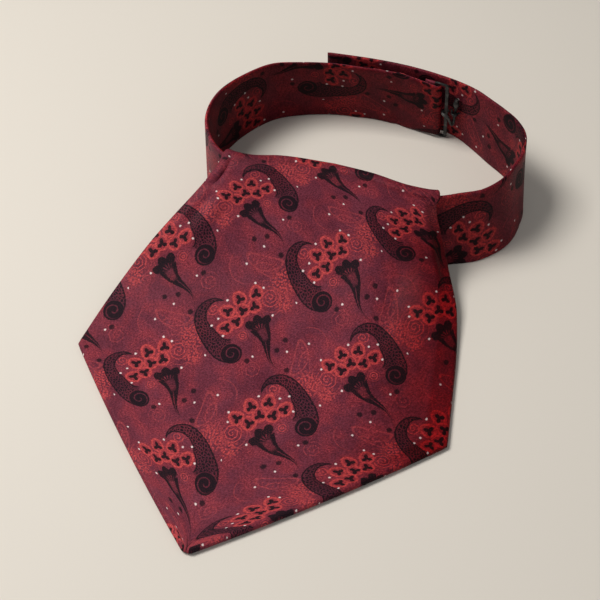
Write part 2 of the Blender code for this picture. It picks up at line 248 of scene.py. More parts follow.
class Net:
    """One material's node tree, and the short ways to add to it."""

    def __init__(self, tree: bpy.types.NodeTree) -> None:
        """Takes over an emptied node tree."""
        self.tree = tree

    def node(
        self,
        kind: str,
        settings: dict[str, object] | None = None,
        values: dict[Union[int, str], object] | None = None,
    ) -> Node:
        """Adds a node.

        Args:
            kind: The node's type, without its ShaderNode beginning.
            settings: Its own settings, which are set first.
            values: A number, colour, wrapped value or socket for each input.

        Returns:
            The node.
        """
        made = self.tree.nodes.new("ShaderNode" + kind)
        for name, setting in (settings or {}).items():
            setattr(made, name, setting)
        self.fill(made, values or {})
        return made

    def fill(self, node: Node, values: dict[Union[int, str], object]) -> None:
        """Sets or links a node's inputs, each by its name or number.

        Args:
            node: The node.
            values: A number, colour, wrapped value or socket for each input.
        """
        for key, value in values.items():
            if isinstance(value, Val):
                value = value.socket
            if isinstance(value, Socket):
                self.tree.links.new(value, node.inputs[key])
            else:
                node.inputs[key].default_value = value

    def math(self, operation: str, *terms: Term, clamp: bool = False) -> Val:
        """The result of one Math node.

        Args:
            operation: What the node works out.
            terms: Its values.
            clamp: Whether the result is kept from 0 to 1.

        Returns:
            The result.
        """
        settings = {"operation": operation, "use_clamp": clamp}
        made = self.node("Math", settings, dict(enumerate(terms)))
        return Val(self, made.outputs[0])

    def vector(self, operation: str, *terms: object) -> Node:
        """One Vector Math node."""
        return self.node("VectorMath", {"operation": operation}, dict(enumerate(terms)))

    def join(self, x: Term, y: Term) -> Socket:
        """A flat vector from two values."""
        return self.node("CombineXYZ", None, {0: x, 1: y}).outputs[0]

    def parts(self, vector: Socket) -> tuple[Val, ...]:
        """The three values of a vector."""
        made = self.node("SeparateXYZ", None, {0: vector})
        return tuple(Val(self, output) for output in made.outputs)

    def distance(self, vector: Socket, x: float, y: float) -> Val:
        """How far a flat vector is from a fixed place."""
        return Val(self, self.vector("DISTANCE", vector, (x, y, 0.0)).outputs[1])

    def polar(self, x: Term, y: Term) -> tuple[Val, Val]:
        """The distance from the centre, and the angle about it."""
        far = Val(self, self.vector("LENGTH", self.join(x, y)).outputs[1])
        return far, self.math("ARCTAN2", y, x)

    def most(self, first: Term, *others: Term) -> Val:
        """The largest of several values.

        Args:
            first: One value.
            others: The rest of them.

        Returns:
            The largest.
        """
        for other in others:
            first = self.math("MAXIMUM", first, other)
        return first

    def mix(self, factor: Term, start: object, end: object, blend: str = "MIX") -> Socket:
        """A colour, blended with a second one as far as the factor says."""
        settings = {"data_type": "RGBA", "blend_type": blend}
        return self.node("Mix", settings, {0: factor, 6: start, 7: end}).outputs[2]

    def mix_place(self, factor: Term, start: object, end: object) -> object:
        """One of two places, chosen by a mask."""
        settings = {"data_type": "VECTOR"}
        return self.node("Mix", settings, {0: factor, 4: start, 5: end}).outputs[1]

    def noise(
        self, vector: object, scale: float, detail: float = 2.0, rough: float = 0.5
    ) -> Node:
        """A Noise Texture node."""
        values = {"Vector": vector, "Scale": scale, "Detail": detail, "Roughness": rough}
        return self.node("TexNoise", None, values)

    def cloud(self, *settings: object) -> Val:
        """The value of a Noise Texture node with such settings."""
        return Val(self, self.noise(*settings).outputs["Fac"])

    def relief(self, height: Val, strength: float, distance: float) -> Socket:
        """The normal of a surface that a value raises."""
        values = {"Strength": strength, "Distance": distance, "Height": height}
        return self.node("Bump", None, values).outputs[0]


def new_material(name: str) -> tuple[Material, Net, Node]:
    """A material with an empty tree but for its shader and output.

    Args:
        name: The material's name.

    Returns:
        The material, its net and its Principled shader.
    """
    made = bpy.data.materials.new(name)
    made.use_nodes = True
    made.node_tree.nodes.clear()
    net = Net(made.node_tree)
    shader = net.node("BsdfPrincipled")
    net.node("OutputMaterial", None, {0: shader.outputs[0]})
    return made, net, shader


class Spot(NamedTuple):
    """A place in the repeat, from the trumpet flower's heart."""

    x: float
    y: float


class Leaf(NamedTuple):
    """A faint leaf outline: its middle, its turn and its half sizes."""

    x: float
    y: float
    turn: float
    long: float
    wide: float


class Swirl(NamedTuple):
    """A spiral line: its heart in its cell, its radius, its pitch and its way."""

    x: float
    y: float
    radius: float
    pitch: float
    way: int


@dataclass(frozen=True)
class Repeat:
    """The pattern's layout: columns whose neighbours are mirrored and dropped."""

    column: float = 45.0
    height: float = 44.0
    blur: float = 0.3

    def cell(self, x: Val, y: Val, centre: Spot) -> tuple[Val, Val]:
        """Places about the nearest copy of a point of the motif.

        Args:
            x: The place along the rows of the pattern.
            y: The place along its columns.
            centre: The point of the motif that the cell is centred on.

        Returns:
            The place from that point, the right way up in every column.
        """
        net = x.net
        here = x - centre.x
        index = net.math("ROUND", here * (1 / self.column))
        across = index.times_add(-self.column, here)
        odd = net.math("PINGPONG", index, 1.0)
        dropped = odd.times_add(-self.height / 2, y)
        upright = dropped * odd.times_add(-2.0, 1.0) - centre.y
        row = net.math("ROUND", upright * (1 / self.height))
        return across, row.times_add(-self.height, upright)


@dataclass(frozen=True)
class Figures:
    """The woven figures of one repeat, each a mask from 0 to 1."""

    repeat: Repeat = Repeat()
    blooms: tuple[Spot, ...] = (
        Spot(-12.2, 5.3),
        Spot(-13.8, -1.7),
        Spot(-11.6, -8.5),
        Spot(-5.5, -12.5),
        Spot(-7.7, 2.2),
        Spot(-8.6, -2.9),
        Spot(-5.6, -7.4),
    )
    bloom_ring: float = 2.6
    bloom_tip: float = 0.95
    bloom_line: float = 0.5
    petals: int = 3
    petal_depth: float = 0.75
    petal_radius: float = 1.6
    glow_radius: float = 4.4
    stem_bends_at: float = 5.0
    stem_wave: float = 27.0
    stem_swing: float = 1.85
    stem_length: float = 24.8
    stem_tip: float = 25.8
    stem_half: float = 4.6
    fan_heart: Spot = Spot(3.8, -0.5)
    fan_turn: float = 0.2
    fan_lobes: float = 4.5
    fan_scallop: float = 1.9
    fan_radius: float = 6.0
    cone_middle: Spot = Spot(0.5, 7.0)
    cone_wide: float = 13.5
    cone_tall: float = 11.3
    cone_path: float = 12.4
    cone_starts: float = 1.62
    cone_sweep: float = 2.64
    cone_growth: float = 5.4
    cone_half: float = 3.7
    curl: Spot = Spot(13.1, 0.4)
    curl_radius: float = 4.5
    dots: tuple[Spot, ...] = (
        Spot(12.6, 6.6),
        Spot(14.8, 1.2),
        Spot(24.7, 0.1),
        Spot(12.4, -12.2),
    )
    dot_radius: float = 1.15
    pins: tuple[Spot, ...] = (
        Spot(-16.3, -6.4),
        Spot(-16.5, 7.1),
        Spot(-12.8, 9.2),
        Spot(-10.9, -13.3),
        Spot(-9.7, -17.1),
        Spot(-2.9, -15.2),
        Spot(-0.1, 7.1),
        Spot(17.6, 4.6),
        Spot(11.9, -9.2),
        Spot(0.5, -25.9),
        Spot(-25.6, 7.6),
    )
    pin_radius: float = 0.45
    side_leaf: Leaf = Leaf(26.3, 8.0, -31.0, 5.6, 2.3)
    top_leaf: Leaf = Leaf(-21.5, 14.0, 45.0, 8.0, 2.9)
    bright_swirl: Swirl = Swirl(4.4, -2.3, 4.6, 1.6, -1)
    crook_swirl: Swirl = Swirl(5.2, -7.2, 2.9, 1.5, 1)
    faint_swirl: Swirl = Swirl(-7.0, -3.4, 4.2, 1.9, 1)
    swirl_line: float = 0.2

    def nearest(self, net: Net, place: Socket, spots: Sequence[Spot], origin: Spot) -> Val:
        """How far the nearest of several spots is.

        Args:
            net: The material's net.
            place: The place, from the origin.
            spots: The spots, from the trumpet's heart.
            origin: The middle of the cell.

        Returns:
            The distance in millimetres.
        """
        near, *others = [net.distance(place, s.x - origin.x, s.y - origin.y) for s in spots]
        for far in others:
            near = net.math("MINIMUM", near, far)
        return near

    def blossoms(self, x: Val, y: Val) -> tuple[Val, Val, Val]:
        """The fan of small blossoms.

        Args:
            x: The place along the rows of the pattern.
            y: The place along its columns.

        Returns:
            The masks of their bright outlines, their dark hearts and the glow
            of red that lies around them.
        """
        net = x.net
        centre = Spot(-8.7, -3.5)
        place = net.join(*self.repeat.cell(x, y, centre))
        chosen, *others = [(s.x - centre.x, s.y - centre.y, 0.0) for s in self.blooms]
        near = net.distance(place, *chosen[:2])
        for spot in others:
            far = net.distance(place, *spot[:2])
            chosen = net.mix_place(far < near, chosen, spot)
            near = net.math("MINIMUM", near, far)
        dx, dy, _ = net.parts(net.vector("SUBTRACT", place, chosen).outputs[0])
        from_x, from_y, _ = net.parts(chosen)
        away = net.math("ARCTAN2", from_y + centre.y, from_x + centre.x)
        angle = net.math("ARCTAN2", dy, dx) - away
        tip = net.math("MAXIMUM", net.math("COSINE", angle), 0.0)
        ring = near - net.math("POWER", tip, 4.0).times_add(self.bloom_tip, self.bloom_ring)
        lobes = net.math("COSINE", angle * self.petals)
        blur = self.repeat.blur
        star = (near - lobes.times_add(self.petal_depth, self.petal_radius)).below(0.0, blur)
        outline = net.most(abs(ring).below(self.bloom_line, blur), ring.below(0, blur) * 0.2)
        return outline, star, near.below(self.glow_radius, 4.0)

    def trumpet(self, x: Val, y: Val) -> tuple[Val, Val]:
        """The long dark trumpet flower.

        Args:
            x: The place along the rows of the pattern.
            y: The place along its columns.

        Returns:
            The mask of its outline, and of the light marks inside it.
        """
        net = x.net
        centre = Spot(10.5, -0.5)
        across, up = self.repeat.cell(x, y, centre)
        along = across + centre.x
        up = up + centre.y
        bent = net.math("MAXIMUM", along, self.stem_bends_at)
        turn = math.tau / self.stem_wave
        swing = net.math("COSINE", bent.times_add(turn, -self.stem_bends_at * turn))
        off = swing.times_add(-self.stem_swing, up) + self.stem_swing
        reach = along.times_add(-1 / self.stem_length, self.stem_tip / self.stem_length, True)
        half = net.math("POWER", reach, 2.0) * self.stem_half
        blur = self.repeat.blur
        stem = (abs(off) - half).below(0.0, blur) * along.above(1.2, 0.6)
        far, angle = net.polar(self.fan_heart.x - along, up - self.fan_heart.y)
        turned = angle - self.fan_turn
        scallop = abs(net.math("COSINE", turned * self.fan_lobes))
        edge = scallop.times_add(self.fan_scallop, self.fan_radius)
        fan = (far - edge).below(0.0, blur) * abs(turned).below(1.05, 0.12)
        rays = net.math("COSINE", turned * 15.5).above(0.25, 0.5)
        rays = rays * abs(far - 2.5).below(1.1, 0.8) * abs(turned).below(0.8, 0.3)
        heart = far.below(1.1, 0.6)
        throat = half.times_add(-0.5, abs(off)).below(0.0, 0.4)
        throat = throat * abs(along - 5.5).below(2.6, 1.5)
        vein = abs(half.times_add(0.2, off)).below(0.16, 0.2) * along.above(9.0, 2.0)
        return net.most(stem, fan), net.most(rays, heart, throat * 0.85, vein)

    def boteh(self, x: Val, y: Val) -> tuple[Val, Val]:
        """The curled paisley cone.

        Args:
            x: The place along the rows of the pattern.
            y: The place along its columns.

        Returns:
            The mask of its outline, and of the light scales inside it.
        """
        net = x.net
        centre = Spot(-7.0, -16.5)
        across, up = self.repeat.cell(x, y, centre)
        wide = across.times_add(1 / self.cone_wide, -self.cone_middle.x / self.cone_wide)
        tall = up.times_add(1 / self.cone_tall, -self.cone_middle.y / self.cone_tall)
        angle = net.math("ARCTAN2", wide, 0.0 - tall)
        cube = net.math("POWER", abs(wide), 3.0) + net.math("POWER", abs(tall), 3.0)
        far = net.math("POWER", cube, 1 / 3)
        share = angle.times_add(1 / self.cone_sweep, self.cone_starts / self.cone_sweep)
        hook = net.math("MAXIMUM", 0.16 - share, 0.0)
        middle = (hook * hook).times_add(-5.0, 1.0)
        off = (far - middle) * self.cone_path
        half = net.math("MINIMUM", share.times_add(self.cone_growth, 0.6), self.cone_half)
        blur = self.repeat.blur
        belly = net.math("MAXIMUM", share - 0.4, 0.0) * 1.9
        inside = abs(off + belly) - (half + belly)
        body = inside.below(0.0, blur) * share.above(-0.05, 0.03)
        body = body * share.below(0.99, 0.05)
        grain = net.join(angle * self.cone_path, off)
        cells = net.node(
            "TexVoronoi",
            {"feature": "DISTANCE_TO_EDGE", "voronoi_dimensions": "2D"},
            {"Vector": grain, "Scale": 0.8, "Randomness": 1.0},
        )
        scales = Val(net, cells.outputs["Distance"]).below(0.15, 0.12)
        scales = scales * inside.below(-0.55, 0.3)
        bead = net.math("SINE", angle * 40.0).above(-0.2, 0.6)
        bead = bead * abs(inside + 1.0).below(0.22, 0.2) * off.above(0.0, 0.4)
        lines = net.most(scales, bead)
        curl_far, curl_angle = net.polar(across - self.curl.x, up - self.curl.y)
        disc = curl_far.below(self.curl_radius, blur)
        turns = net.math("FRACT", curl_angle.times_add(1 / math.tau, curl_far * 0.38))
        spiral = abs(turns - 0.5).below(0.1, 0.07)
        spiral = spiral * curl_far.below(self.curl_radius - 0.8, 0.5)
        spiral = spiral * curl_far.above(0.6, 0.4)
        border = abs(curl_far - (self.curl_radius + 0.2)).below(0.2, 0.2)
        border = border * inside.below(-0.5, 0.4)
        lines = net.most(lines * (1 - disc), spiral * disc, border)
        return net.most(body, disc), lines

    def spots(self, x: Val, y: Val) -> tuple[Val, Val, Val]:
        """The dark dots and the leaf beside them.

        Args:
            x: The place along the rows of the pattern.
            y: The place along its columns.

        Returns:
            The masks of the dots, of the leaf's faint line and of a little
            rosette.
        """
        net = x.net
        centre = Spot(16.5, -2.0)
        place = net.join(*self.repeat.cell(x, y, centre))
        near = self.nearest(net, place, self.dots, centre)
        leaf = self.leaf(net, place, self.side_leaf, centre)
        far = net.distance(place, 1.3 - centre.x, -8.0 - centre.y)
        rings = abs(net.math("FRACT", far * 0.95) - 0.5).below(0.2, 0.15)
        rosette = rings * far.below(2.5, 0.5)
        return near.below(self.dot_radius, 0.5), leaf, rosette

    def leaf(self, net: Net, place: Socket, leaf: Leaf, origin: Spot) -> Val:
        """The line of a leaf's outline with a row of dots inside it.

        Args:
            net: The material's net.
            place: The place, from the origin.
            leaf: The leaf, from the trumpet's heart.
            origin: The middle of the cell.

        Returns:
            The mask.
        """
        middle = (leaf.x - origin.x, leaf.y - origin.y, 0.0)
        shifted = net.vector("SUBTRACT", place, middle).outputs[0]
        values = {"Vector": shifted, "Angle": math.radians(-leaf.turn)}
        turned = net.node("VectorRotate", {"rotation_type": "Z_AXIS"}, values)
        along, side, _ = net.parts(turned.outputs[0])
        bent = (along * along).times_add(-0.03, side)
        squares = (along * along) * (1 / leaf.long**2) + (bent * bent) * (1 / leaf.wide**2)
        far = net.math("SQRT", squares)
        outline = abs(far - 1.0).below(0.09, 0.08)
        row = abs(net.math("FRACT", along * 0.5) - 0.5).below(0.2, 0.2)
        row = row * abs(bent).below(0.42, 0.3) * far.below(0.75, 0.2)
        return net.most(outline, row)

    def pin_dots(self, x: Val, y: Val) -> Val:
        """The scattered pale pin dots.

        Args:
            x: The place along the rows of the pattern.
            y: The place along its columns.

        Returns:
            The mask.
        """
        net = x.net
        centre = Spot(-4.0, -4.0)
        place = net.join(*self.repeat.cell(x, y, centre))
        return self.nearest(net, place, self.pins, centre).below(self.pin_radius, 0.34)

    def spiral(self, x: Val, y: Val, swirl: Swirl) -> Val:
        """A fine spiral line with slightly ruffled turns.

        Args:
            x: The place across, from the middle of the cell.
            y: The place up, from the middle of the cell.
            swirl: The spiral's place and sizes.

        Returns:
            The mask.
        """
        net = x.net
        far, angle = net.polar(x - swirl.x, y - swirl.y)
        ruffle = net.math("COSINE", angle * 7.0) * 0.07
        winding = angle.times_add(swirl.way / math.tau, far / swirl.pitch)
        turns = net.math("FRACT", winding + ruffle)
        half = self.swirl_line / swirl.pitch
        return abs(turns - 0.5).below(half, half) * far.below(swirl.radius, 1.2)

    def rosettes(self, x: Val, y: Val) -> tuple[Val, Val, Val]:
        """The fine red tracery above the blossoms.

        Args:
            x: The place along the rows of the pattern.
            y: The place along its columns.

        Returns:
            The masks of its bright lines, its faint lines and its stipple.
        """
        net = x.net
        centre = Spot(-12.0, 12.0)
        across, up = self.repeat.cell(x, y, centre)
        bright = self.spiral(across, up, self.bright_swirl)
        far, angle = net.polar(across - 5.0, up + 2.0)
        loop = abs((far - 7.6) + net.math("COSINE", angle * 5.0) * 0.8)
        faint = loop.below(0.22, 0.24) * angle.above(-1.2, 0.5)
        inner = abs(far - 6.0).below(0.16, 0.24) * abs(angle).below(1.6, 0.5)
        place = net.join(across, up)
        leaf = self.leaf(net, place, self.top_leaf, centre)
        grains = net.node(
            "TexVoronoi",
            {"feature": "F1", "voronoi_dimensions": "2D"},
            {"Vector": place, "Scale": 0.95, "Randomness": 0.9},
        )
        stipple = Val(net, grains.outputs["Distance"]).below(0.38, 0.2)
        patch = net.most(
            net.distance(place, 2.0, 6.0).below(5.4, 3.0),
            net.distance(place, 10.0, 1.5).below(3.4, 2.4),
        )
        return bright, net.most(faint, inner, leaf), stipple * patch

    def curls(self, x: Val, y: Val) -> tuple[Val, Val]:
        """The curls to the left of the blossoms.

        Args:
            x: The place along the rows of the pattern.
            y: The place along its columns.

        Returns:
            The masks of the bright hook in the cone's crook, and of the
            faint curls.
        """
        net = x.net
        centre = Spot(-21.0, -6.0)
        across, up = self.repeat.cell(x, y, centre)
        bright = self.spiral(across, up, self.crook_swirl)
        faint = self.spiral(across, up, self.faint_swirl)
        sweep = abs(net.distance(net.join(across, up), -4.0, 14.0) - 8.0)
        sweep = sweep.below(0.2, 0.24) * up.below(11.0, 2.0) * across.below(2.0, 3.0)
        return bright, net.most(faint, sweep)


@dataclass(frozen=True)
class SilkFinish:
    """The wine jacquard silk."""

    name: str = "wine jacquard silk"
    figures: Figures = Figures()
    ground_deep: Color = (0.078, 0.012, 0.028, 1.0)
    ground_light: Color = (0.248, 0.053, 0.086, 1.0)
    haze: Color = (0.340, 0.038, 0.056, 1.0)
    tracery: Color = (0.520, 0.078, 0.092, 1.0)
    bright: Color = (0.630, 0.080, 0.084, 1.0)
    dark: Color = (0.010, 0.007, 0.011, 1.0)
    pale: Color = (0.820, 0.690, 0.680, 1.0)
    roughness: float = 0.48
    specular: float = 0.05
    sheen: float = 0.01
    wander: float = 0.75
    gap_color: Color = (0.022, 0.002, 0.004, 1.0)
    # Painted shade: the dark red tint that the colour is multiplied toward where the cloth is
    # to look shaded.
    painted_shade_tint: Color = (0.480, 0.100, 0.120, 1.0)
    sheen_tint: Color = (0.9, 0.6, 0.65, 1.0)
    trumpet_marks: float = 0.78
    cone_marks: float = 0.66
    gap_share: float = 0.52

    def build(self) -> Material:
        """Makes the material.

        Returns:
            The material, which reads each point's place on the pattern.
        """
        made, net, shader = new_material(self.name)
        source = net.node("Attribute", {"attribute_name": PLACE}).outputs["Vector"]
        threads = net.noise(source, 1.7)
        shift = net.vector("SUBTRACT", threads.outputs["Color"], (0.5, 0.5, 0.5))
        shift = net.vector("SCALE", shift.outputs[0])
        shift.inputs["Scale"].default_value = self.wander
        place = net.vector("ADD", source, shift.outputs[0]).outputs[0]
        x, y, _ = net.parts(place)
        # The place's third value is the painted shade that darkens the colour.
        color, dark = self.color(net, x, y, source, net.parts(source)[2])
        values = {
            "Specular IOR Level": self.specular,
            "Sheen Weight": self.sheen,
            "Sheen Roughness": 0.4,
            "Sheen Tint": self.sheen_tint,
            "Base Color": color,
            "Roughness": dark.times_add(0.08, self.roughness),
            "Normal": self.weave(net, source),
        }
        net.fill(shader, values)
        return made

    def color(self, net: Net, x: Val, y: Val, source: Socket, painted_shade: Val) -> tuple[Socket, Val]:
        """Lays the figures over the ground.

        Args:
            net: The material's net.
            x: The place along the rows of the pattern.
            y: The place along its columns.
            source: The same place without the threads' wander.
            painted_shade: How far painted shade darkens the colour at this place.

        Returns:
            The colour, and the mask of the dark figures.
        """
        figures = self.figures
        bright, black, glow = figures.blossoms(x, y)
        over = ((figures.trumpet, self.trumpet_marks), (figures.boteh, self.cone_marks))
        for figure, marks in over:
            cover, light = figure(x, y)
            black = net.most(black, cover * light.times_add(-marks, 1.0))
            bright = bright * (1 - cover)
        dots, faint, rosette = figures.spots(x, y)
        black = net.most(black, dots * 0.9)
        fine, traced, stipple = figures.rosettes(x, y)
        crook, curl = figures.curls(x, y)
        faint = net.most(faint, traced, curl)
        lively = net.most(fine, stipple, rosette * 0.8, crook)
        blotch = net.cloud(source, 0.05, 3.0, 0.6).times_add(1.3, -0.12, clamp=True)
        ground = net.mix(blotch, self.ground_deep, self.ground_light)
        specks = net.cloud(source, 1.9, 2.0, 0.8)
        warm = net.cloud(source, 0.11, 1.0).above(0.55, 0.25)
        speckle = specks.above(0.56, 0.12) * warm.times_add(0.55, 0.22)
        ground = net.mix(net.most(glow * 0.75, warm * 0.45), ground, self.haze)
        worn = specks.times_add(4.0, -1.2, clamp=True)
        lines = net.most(faint * 0.75 * worn, lively * worn, speckle) * (1 - cover)
        layered = net.mix(lines, ground, self.tracery)
        lit = net.most(bright, lively * (1 - cover) * 0.8)
        lit = lit * specks.times_add(1.6, 0.25, clamp=True)
        layered = net.mix(lit, layered, self.bright)
        floats = net.vector("MULTIPLY", source, (1.9, 1.0, 1.0)).outputs[0]
        gaps = net.cloud(floats, 1.0, 2.0, 0.75).below(0.5, 0.2)
        layered = net.mix(gaps * self.gap_share, layered, self.gap_color)
        worn = specks.times_add(-0.7, 1.3, clamp=True)
        layered = net.mix(black * worn, layered, self.dark)
        # Painted shade: the colour is multiplied toward a dark red tint over the blade's fold,
        # its right margin and the neckband's faces, and the pale pins are dimmed with it.
        painted_shade_mix = painted_shade.times_add(1.6, 0.0, clamp=True)
        layered = net.mix(painted_shade_mix, layered, self.painted_shade_tint, "MULTIPLY")
        pins = figures.pin_dots(x, y) * painted_shade.times_add(-0.9, 1.0, clamp=True)
        return net.mix(pins, layered, self.pale), black

    def weave(self, net: Net, source: Socket) -> Socket:
        """The fine relief of the satin's threads."""
        stretched = net.vector("MULTIPLY", source, (0.9, 3.6, 1.0)).outputs[0]
        return net.relief(net.cloud(stretched, 1.3, 2.0, 0.65), 0.35, 0.12 * MM)


@dataclass(frozen=True)
class LacquerFinish:
    """Black lacquer on wire, worn a little in scattered spots."""

    name: str = "black lacquered metal"
    lacquer: Color = (0.014, 0.014, 0.015, 1.0)
    worn: Color = (0.130, 0.128, 0.124, 1.0)
    roughness: float = 0.36
    metallic: float = 0.6

    def build(self) -> Material:
        """Makes the material."""
        made, net, shader = new_material(self.name)
        cloud = net.cloud(net.node("TexCoord").outputs["Object"], 260.0, 4.0, 0.6)
        values = {
            "Base Color": net.mix(cloud.above(0.6, 0.2), self.lacquer, self.worn),
            "Roughness": cloud.times_add(0.35, self.roughness - 0.1),
            "Metallic": self.metallic,
            "Normal": net.relief(cloud, 0.2, 0.05 * MM),
        }
        net.fill(shader, values)
        return made


class BandRow(NamedTuple):
    """A station of the neckband: its head, its foot's lean and its pinch."""

    head_x: float
    head_y: float
    lean: float
    pinch: float = 0.0


class Side(Enum):
    """Which half of the neckband, by the way it runs from the front seam."""

    LEFT = 1
    RIGHT = -1


class Ripple(NamedTuple):
    """A soft upright fold of the band: where, how wide, how far out, how tilted."""

    at: float
    width: float
    out: float
    tilt: float


class Grain(NamedTuple):
    """How a piece was laid on the cloth, and how much painted shade darkens that side of it.

    It is turned in degrees, sheared and then shifted in millimetres.
    """

    turn: float
    shift_x: float
    shift_y: float
    shear: float = 0.0
    # Painted shade: how far this face is darkened so that it looks shaded.
    painted_shade: float = 0.0


def on_pattern(flat: Array, grain: Grain) -> Array:
    """Places on the pattern of points on the flat piece.

    Args:
        flat: Points on the flat piece in millimetres, and their painted shade.
        grain: How the piece was laid on the cloth.

    Returns:
        A place on the pattern and a dullness for each point.
    """
    turn = math.radians(grain.turn)
    x = flat[..., 0] * math.cos(turn) + flat[..., 1] * math.sin(turn)
    y = flat[..., 1] * math.cos(turn) - flat[..., 0] * math.sin(turn)
    x = x + grain.shear * y + grain.shift_x
    return np.stack([x, y + grain.shift_y, flat[..., 2] + grain.painted_shade], axis=-1)


@dataclass
class Neckband:
    """One half of the standing neckband."""

    side: Side
    rows: tuple[BandRow, ...]
    outside: Grain
    inside: Grain
    ripples: tuple[Ripple, ...] = ()
    height: float = 36.0
    wall: float = 1.6
    step: float = 1.3
    height_steps: int = 16
    edge_steps: int = 3
    loop_radius: float = 1.5
    turn_back: float = 6.0
    loop_steps: int = 14
    back_steps: int = 5
    thinnest_end: float = 0.06

    def lines(self) -> Lines:
        """Stations along the half.

        Returns:
            The head's points, the foot's points, the pinch and the outward
            direction at each station.
        """
        table = np.array(self.rows, float)
        lengths = np.linalg.norm(np.diff(table[:, :2], axis=0), axis=1)
        knots = np.concatenate([[0.0], np.cumsum(lengths)])
        at = np.linspace(0.0, knots[-1], int(round(knots[-1] / self.step)) + 1)
        values = smooth(knots, table, at)
        head = values[:, :2]
        ahead = unit(np.gradient(head, axis=0))
        outward = self.side.value * np.stack([-ahead[:, 1], ahead[:, 0]], axis=1)
        outward[0] = (0.0, -1.0)
        foot = head + values[:, 2:3] * outward
        return head, foot, np.maximum(values[:, 3], 0.0), outward

    def turned_end(self, head: Array, foot: Array, pinch: Array, outward: Array) -> Lines:
        """Carries the cloth's end round the slide's bar and back.

        Args:
            head: The points of the head.
            foot: The points of the foot.
            pinch: How much the band is pinched at each station.
            outward: The outward direction at each station.

        Returns:
            The same four, with the turned end's stations added.
        """
        ahead = unit(head[-1] - head[-2])
        out = outward[-1]
        angles = np.linspace(0.0, math.pi, self.loop_steps + 1)[1:]
        lines = []
        for line in (head, foot):
            centre = line[-1] + self.loop_radius * out
            round_bar = [
                centre + self.loop_radius * (math.sin(a) * ahead - math.cos(a) * out)
                for a in angles
            ]
            back = [
                round_bar[-1] - f * self.turn_back * ahead
                for f in np.linspace(0.0, 1.0, self.back_steps + 1)[1:]
            ]
            lines.append(np.vstack([line, round_bar, back]))
        extra = len(lines[0]) - len(head)
        pinch = np.concatenate([pinch, np.full(extra, pinch[-1])])
        ways = [math.cos(a) * out - math.sin(a) * ahead for a in angles]
        ways += [-out] * (extra - len(ways))
        return lines[0], lines[1], pinch, np.vstack([outward, ways])

    def section(self) -> Array:
        """The band's section as rows of side, height and place on the cloth.

        The side is a share of half the wall, the height is in millimetres and
        the place is measured up either face to the middle of the head.
        """
        half = self.wall / 2
        top = self.height - half
        rise = np.linspace(half, top, self.height_steps + 1)
        rows = [(1.0, z, z) for z in rise]
        turns = np.linspace(0, math.pi, 2 * self.edge_steps + 1)[1:-1]
        for angle in turns:
            along = top + half * min(angle, math.pi - angle)
            rows.append((math.cos(angle), top + half * math.sin(angle), along))
        rows += [(-1.0, z, z) for z in rise[::-1]]
        for angle in turns:
            along = half - half * min(angle, math.pi - angle)
            rows.append((-math.cos(angle), half - half * math.sin(angle), along))
        return np.array(rows)

    def sway(self, along: Array, rise: Array) -> Array:
        """How far the soft folds move each point outward.

        Args:
            along: How far along the half each station is.
            rise: The height of each point.

        Returns:
            The way outward for each station and height, in millimetres.
        """
        moved = np.zeros((len(along), len(rise)))
        share = rise / self.height
        for ripple in self.ripples:
            off = along[:, None] - ripple.at - ripple.tilt * (share[None, :] - 0.5)
            moved += ripple.out * np.exp(-((off / ripple.width) ** 2))
        return moved

    def build(self, name: str, finish: Material) -> Piece:
        """Makes the closed strip.

        Args:
            name: The piece's name.
            finish: The silk.

        Returns:
            The piece.
        """
        lines = self.lines()
        if self.side is Side.LEFT:
            lines = self.turned_end(*lines)
        head, foot, pinch, outward = lines
        section = self.section()
        steps = np.linalg.norm(np.diff(head, axis=0), axis=1)
        along = np.concatenate([[0.0], np.cumsum(steps)])
        ends = np.minimum(along, along[-1] - along) / (self.wall / 2)
        thick = np.sqrt(1 - (1 - np.clip(ends, self.thinnest_end, 1.0)) ** 2)
        moved = self.sway(along, section[:, 1])
        lean = np.linalg.norm(head - foot, axis=1)
        tall = np.sqrt(self.height**2 - lean**2)
        share = section[None, :, 1] / self.height
        share = (pinch[:, None] + share * (tall - 2 * pinch)[:, None]) / tall[:, None]
        out = section[None, :, 0] * thick[:, None] * self.wall / 2 + moved
        flat = foot[:, None] + share[..., None] * (head - foot)[:, None]
        flat = flat + out[..., None] * outward[:, None]
        points = np.concatenate([flat, (share * tall[:, None])[..., None]], axis=-1)
        around = len(section)
        places = np.zeros((len(along), around, 3))
        places[..., 0] = along[:, None] * self.side.value
        places[..., 1] = section[None, :, 2]
        faces = [tuple(range(around))]
        last = (len(along) - 1) * around
        faces.append(tuple(range(last, last + around)))
        layers = [0, 0]
        apex = self.height_steps + self.edge_steps
        for row in range(len(along) - 1):
            for k in range(around):
                a = row * around + k
                b = row * around + (k + 1) % around
                faces.append((a, b, b + around, a + around))
                layers.append(int(apex <= k < around - self.edge_steps))
        if self.side is Side.RIGHT:
            faces = [face[::-1] for face in faces]
        places = places.reshape(-1, 3)
        # Each face takes its grain, whose last value is the painted shade that darkens that
        # face.
        both = np.stack([on_pattern(places, self.outside), on_pattern(places, self.inside)])
        return add_mesh(name, points.reshape(-1, 3), faces, both, finish, layers)


class BladeRow(NamedTuple):
    """Where the blade runs after the fold, by its distance from the fold."""

    along: float
    left_x: float
    left_y: float
    left_z: float
    middle_y: float
    middle_z: float
    right_x: float
    right_y: float
    right_z: float


class Fold(NamedTuple):
    """A large fold of the blade, as in the solid."""

    across: float
    half_width: float
    rise: float
    starts: float
    ends: float


class Crease(NamedTuple):
    """A crease drawn on the flat blade, from one place to another.

    The rise is a soft ridge, or a trough where it is negative. The step
    lifts the cloth to the right of the line and drops it to the left.
    """

    from_x: float
    from_y: float
    to_x: float
    to_y: float
    width: float
    rise: float
    step: float


class TurnedEdge(NamedTuple):
    """A strip along the blade's edge that turns down, past a place across."""

    side: int
    across: float
    drop: float
    starts: float
    ends: float


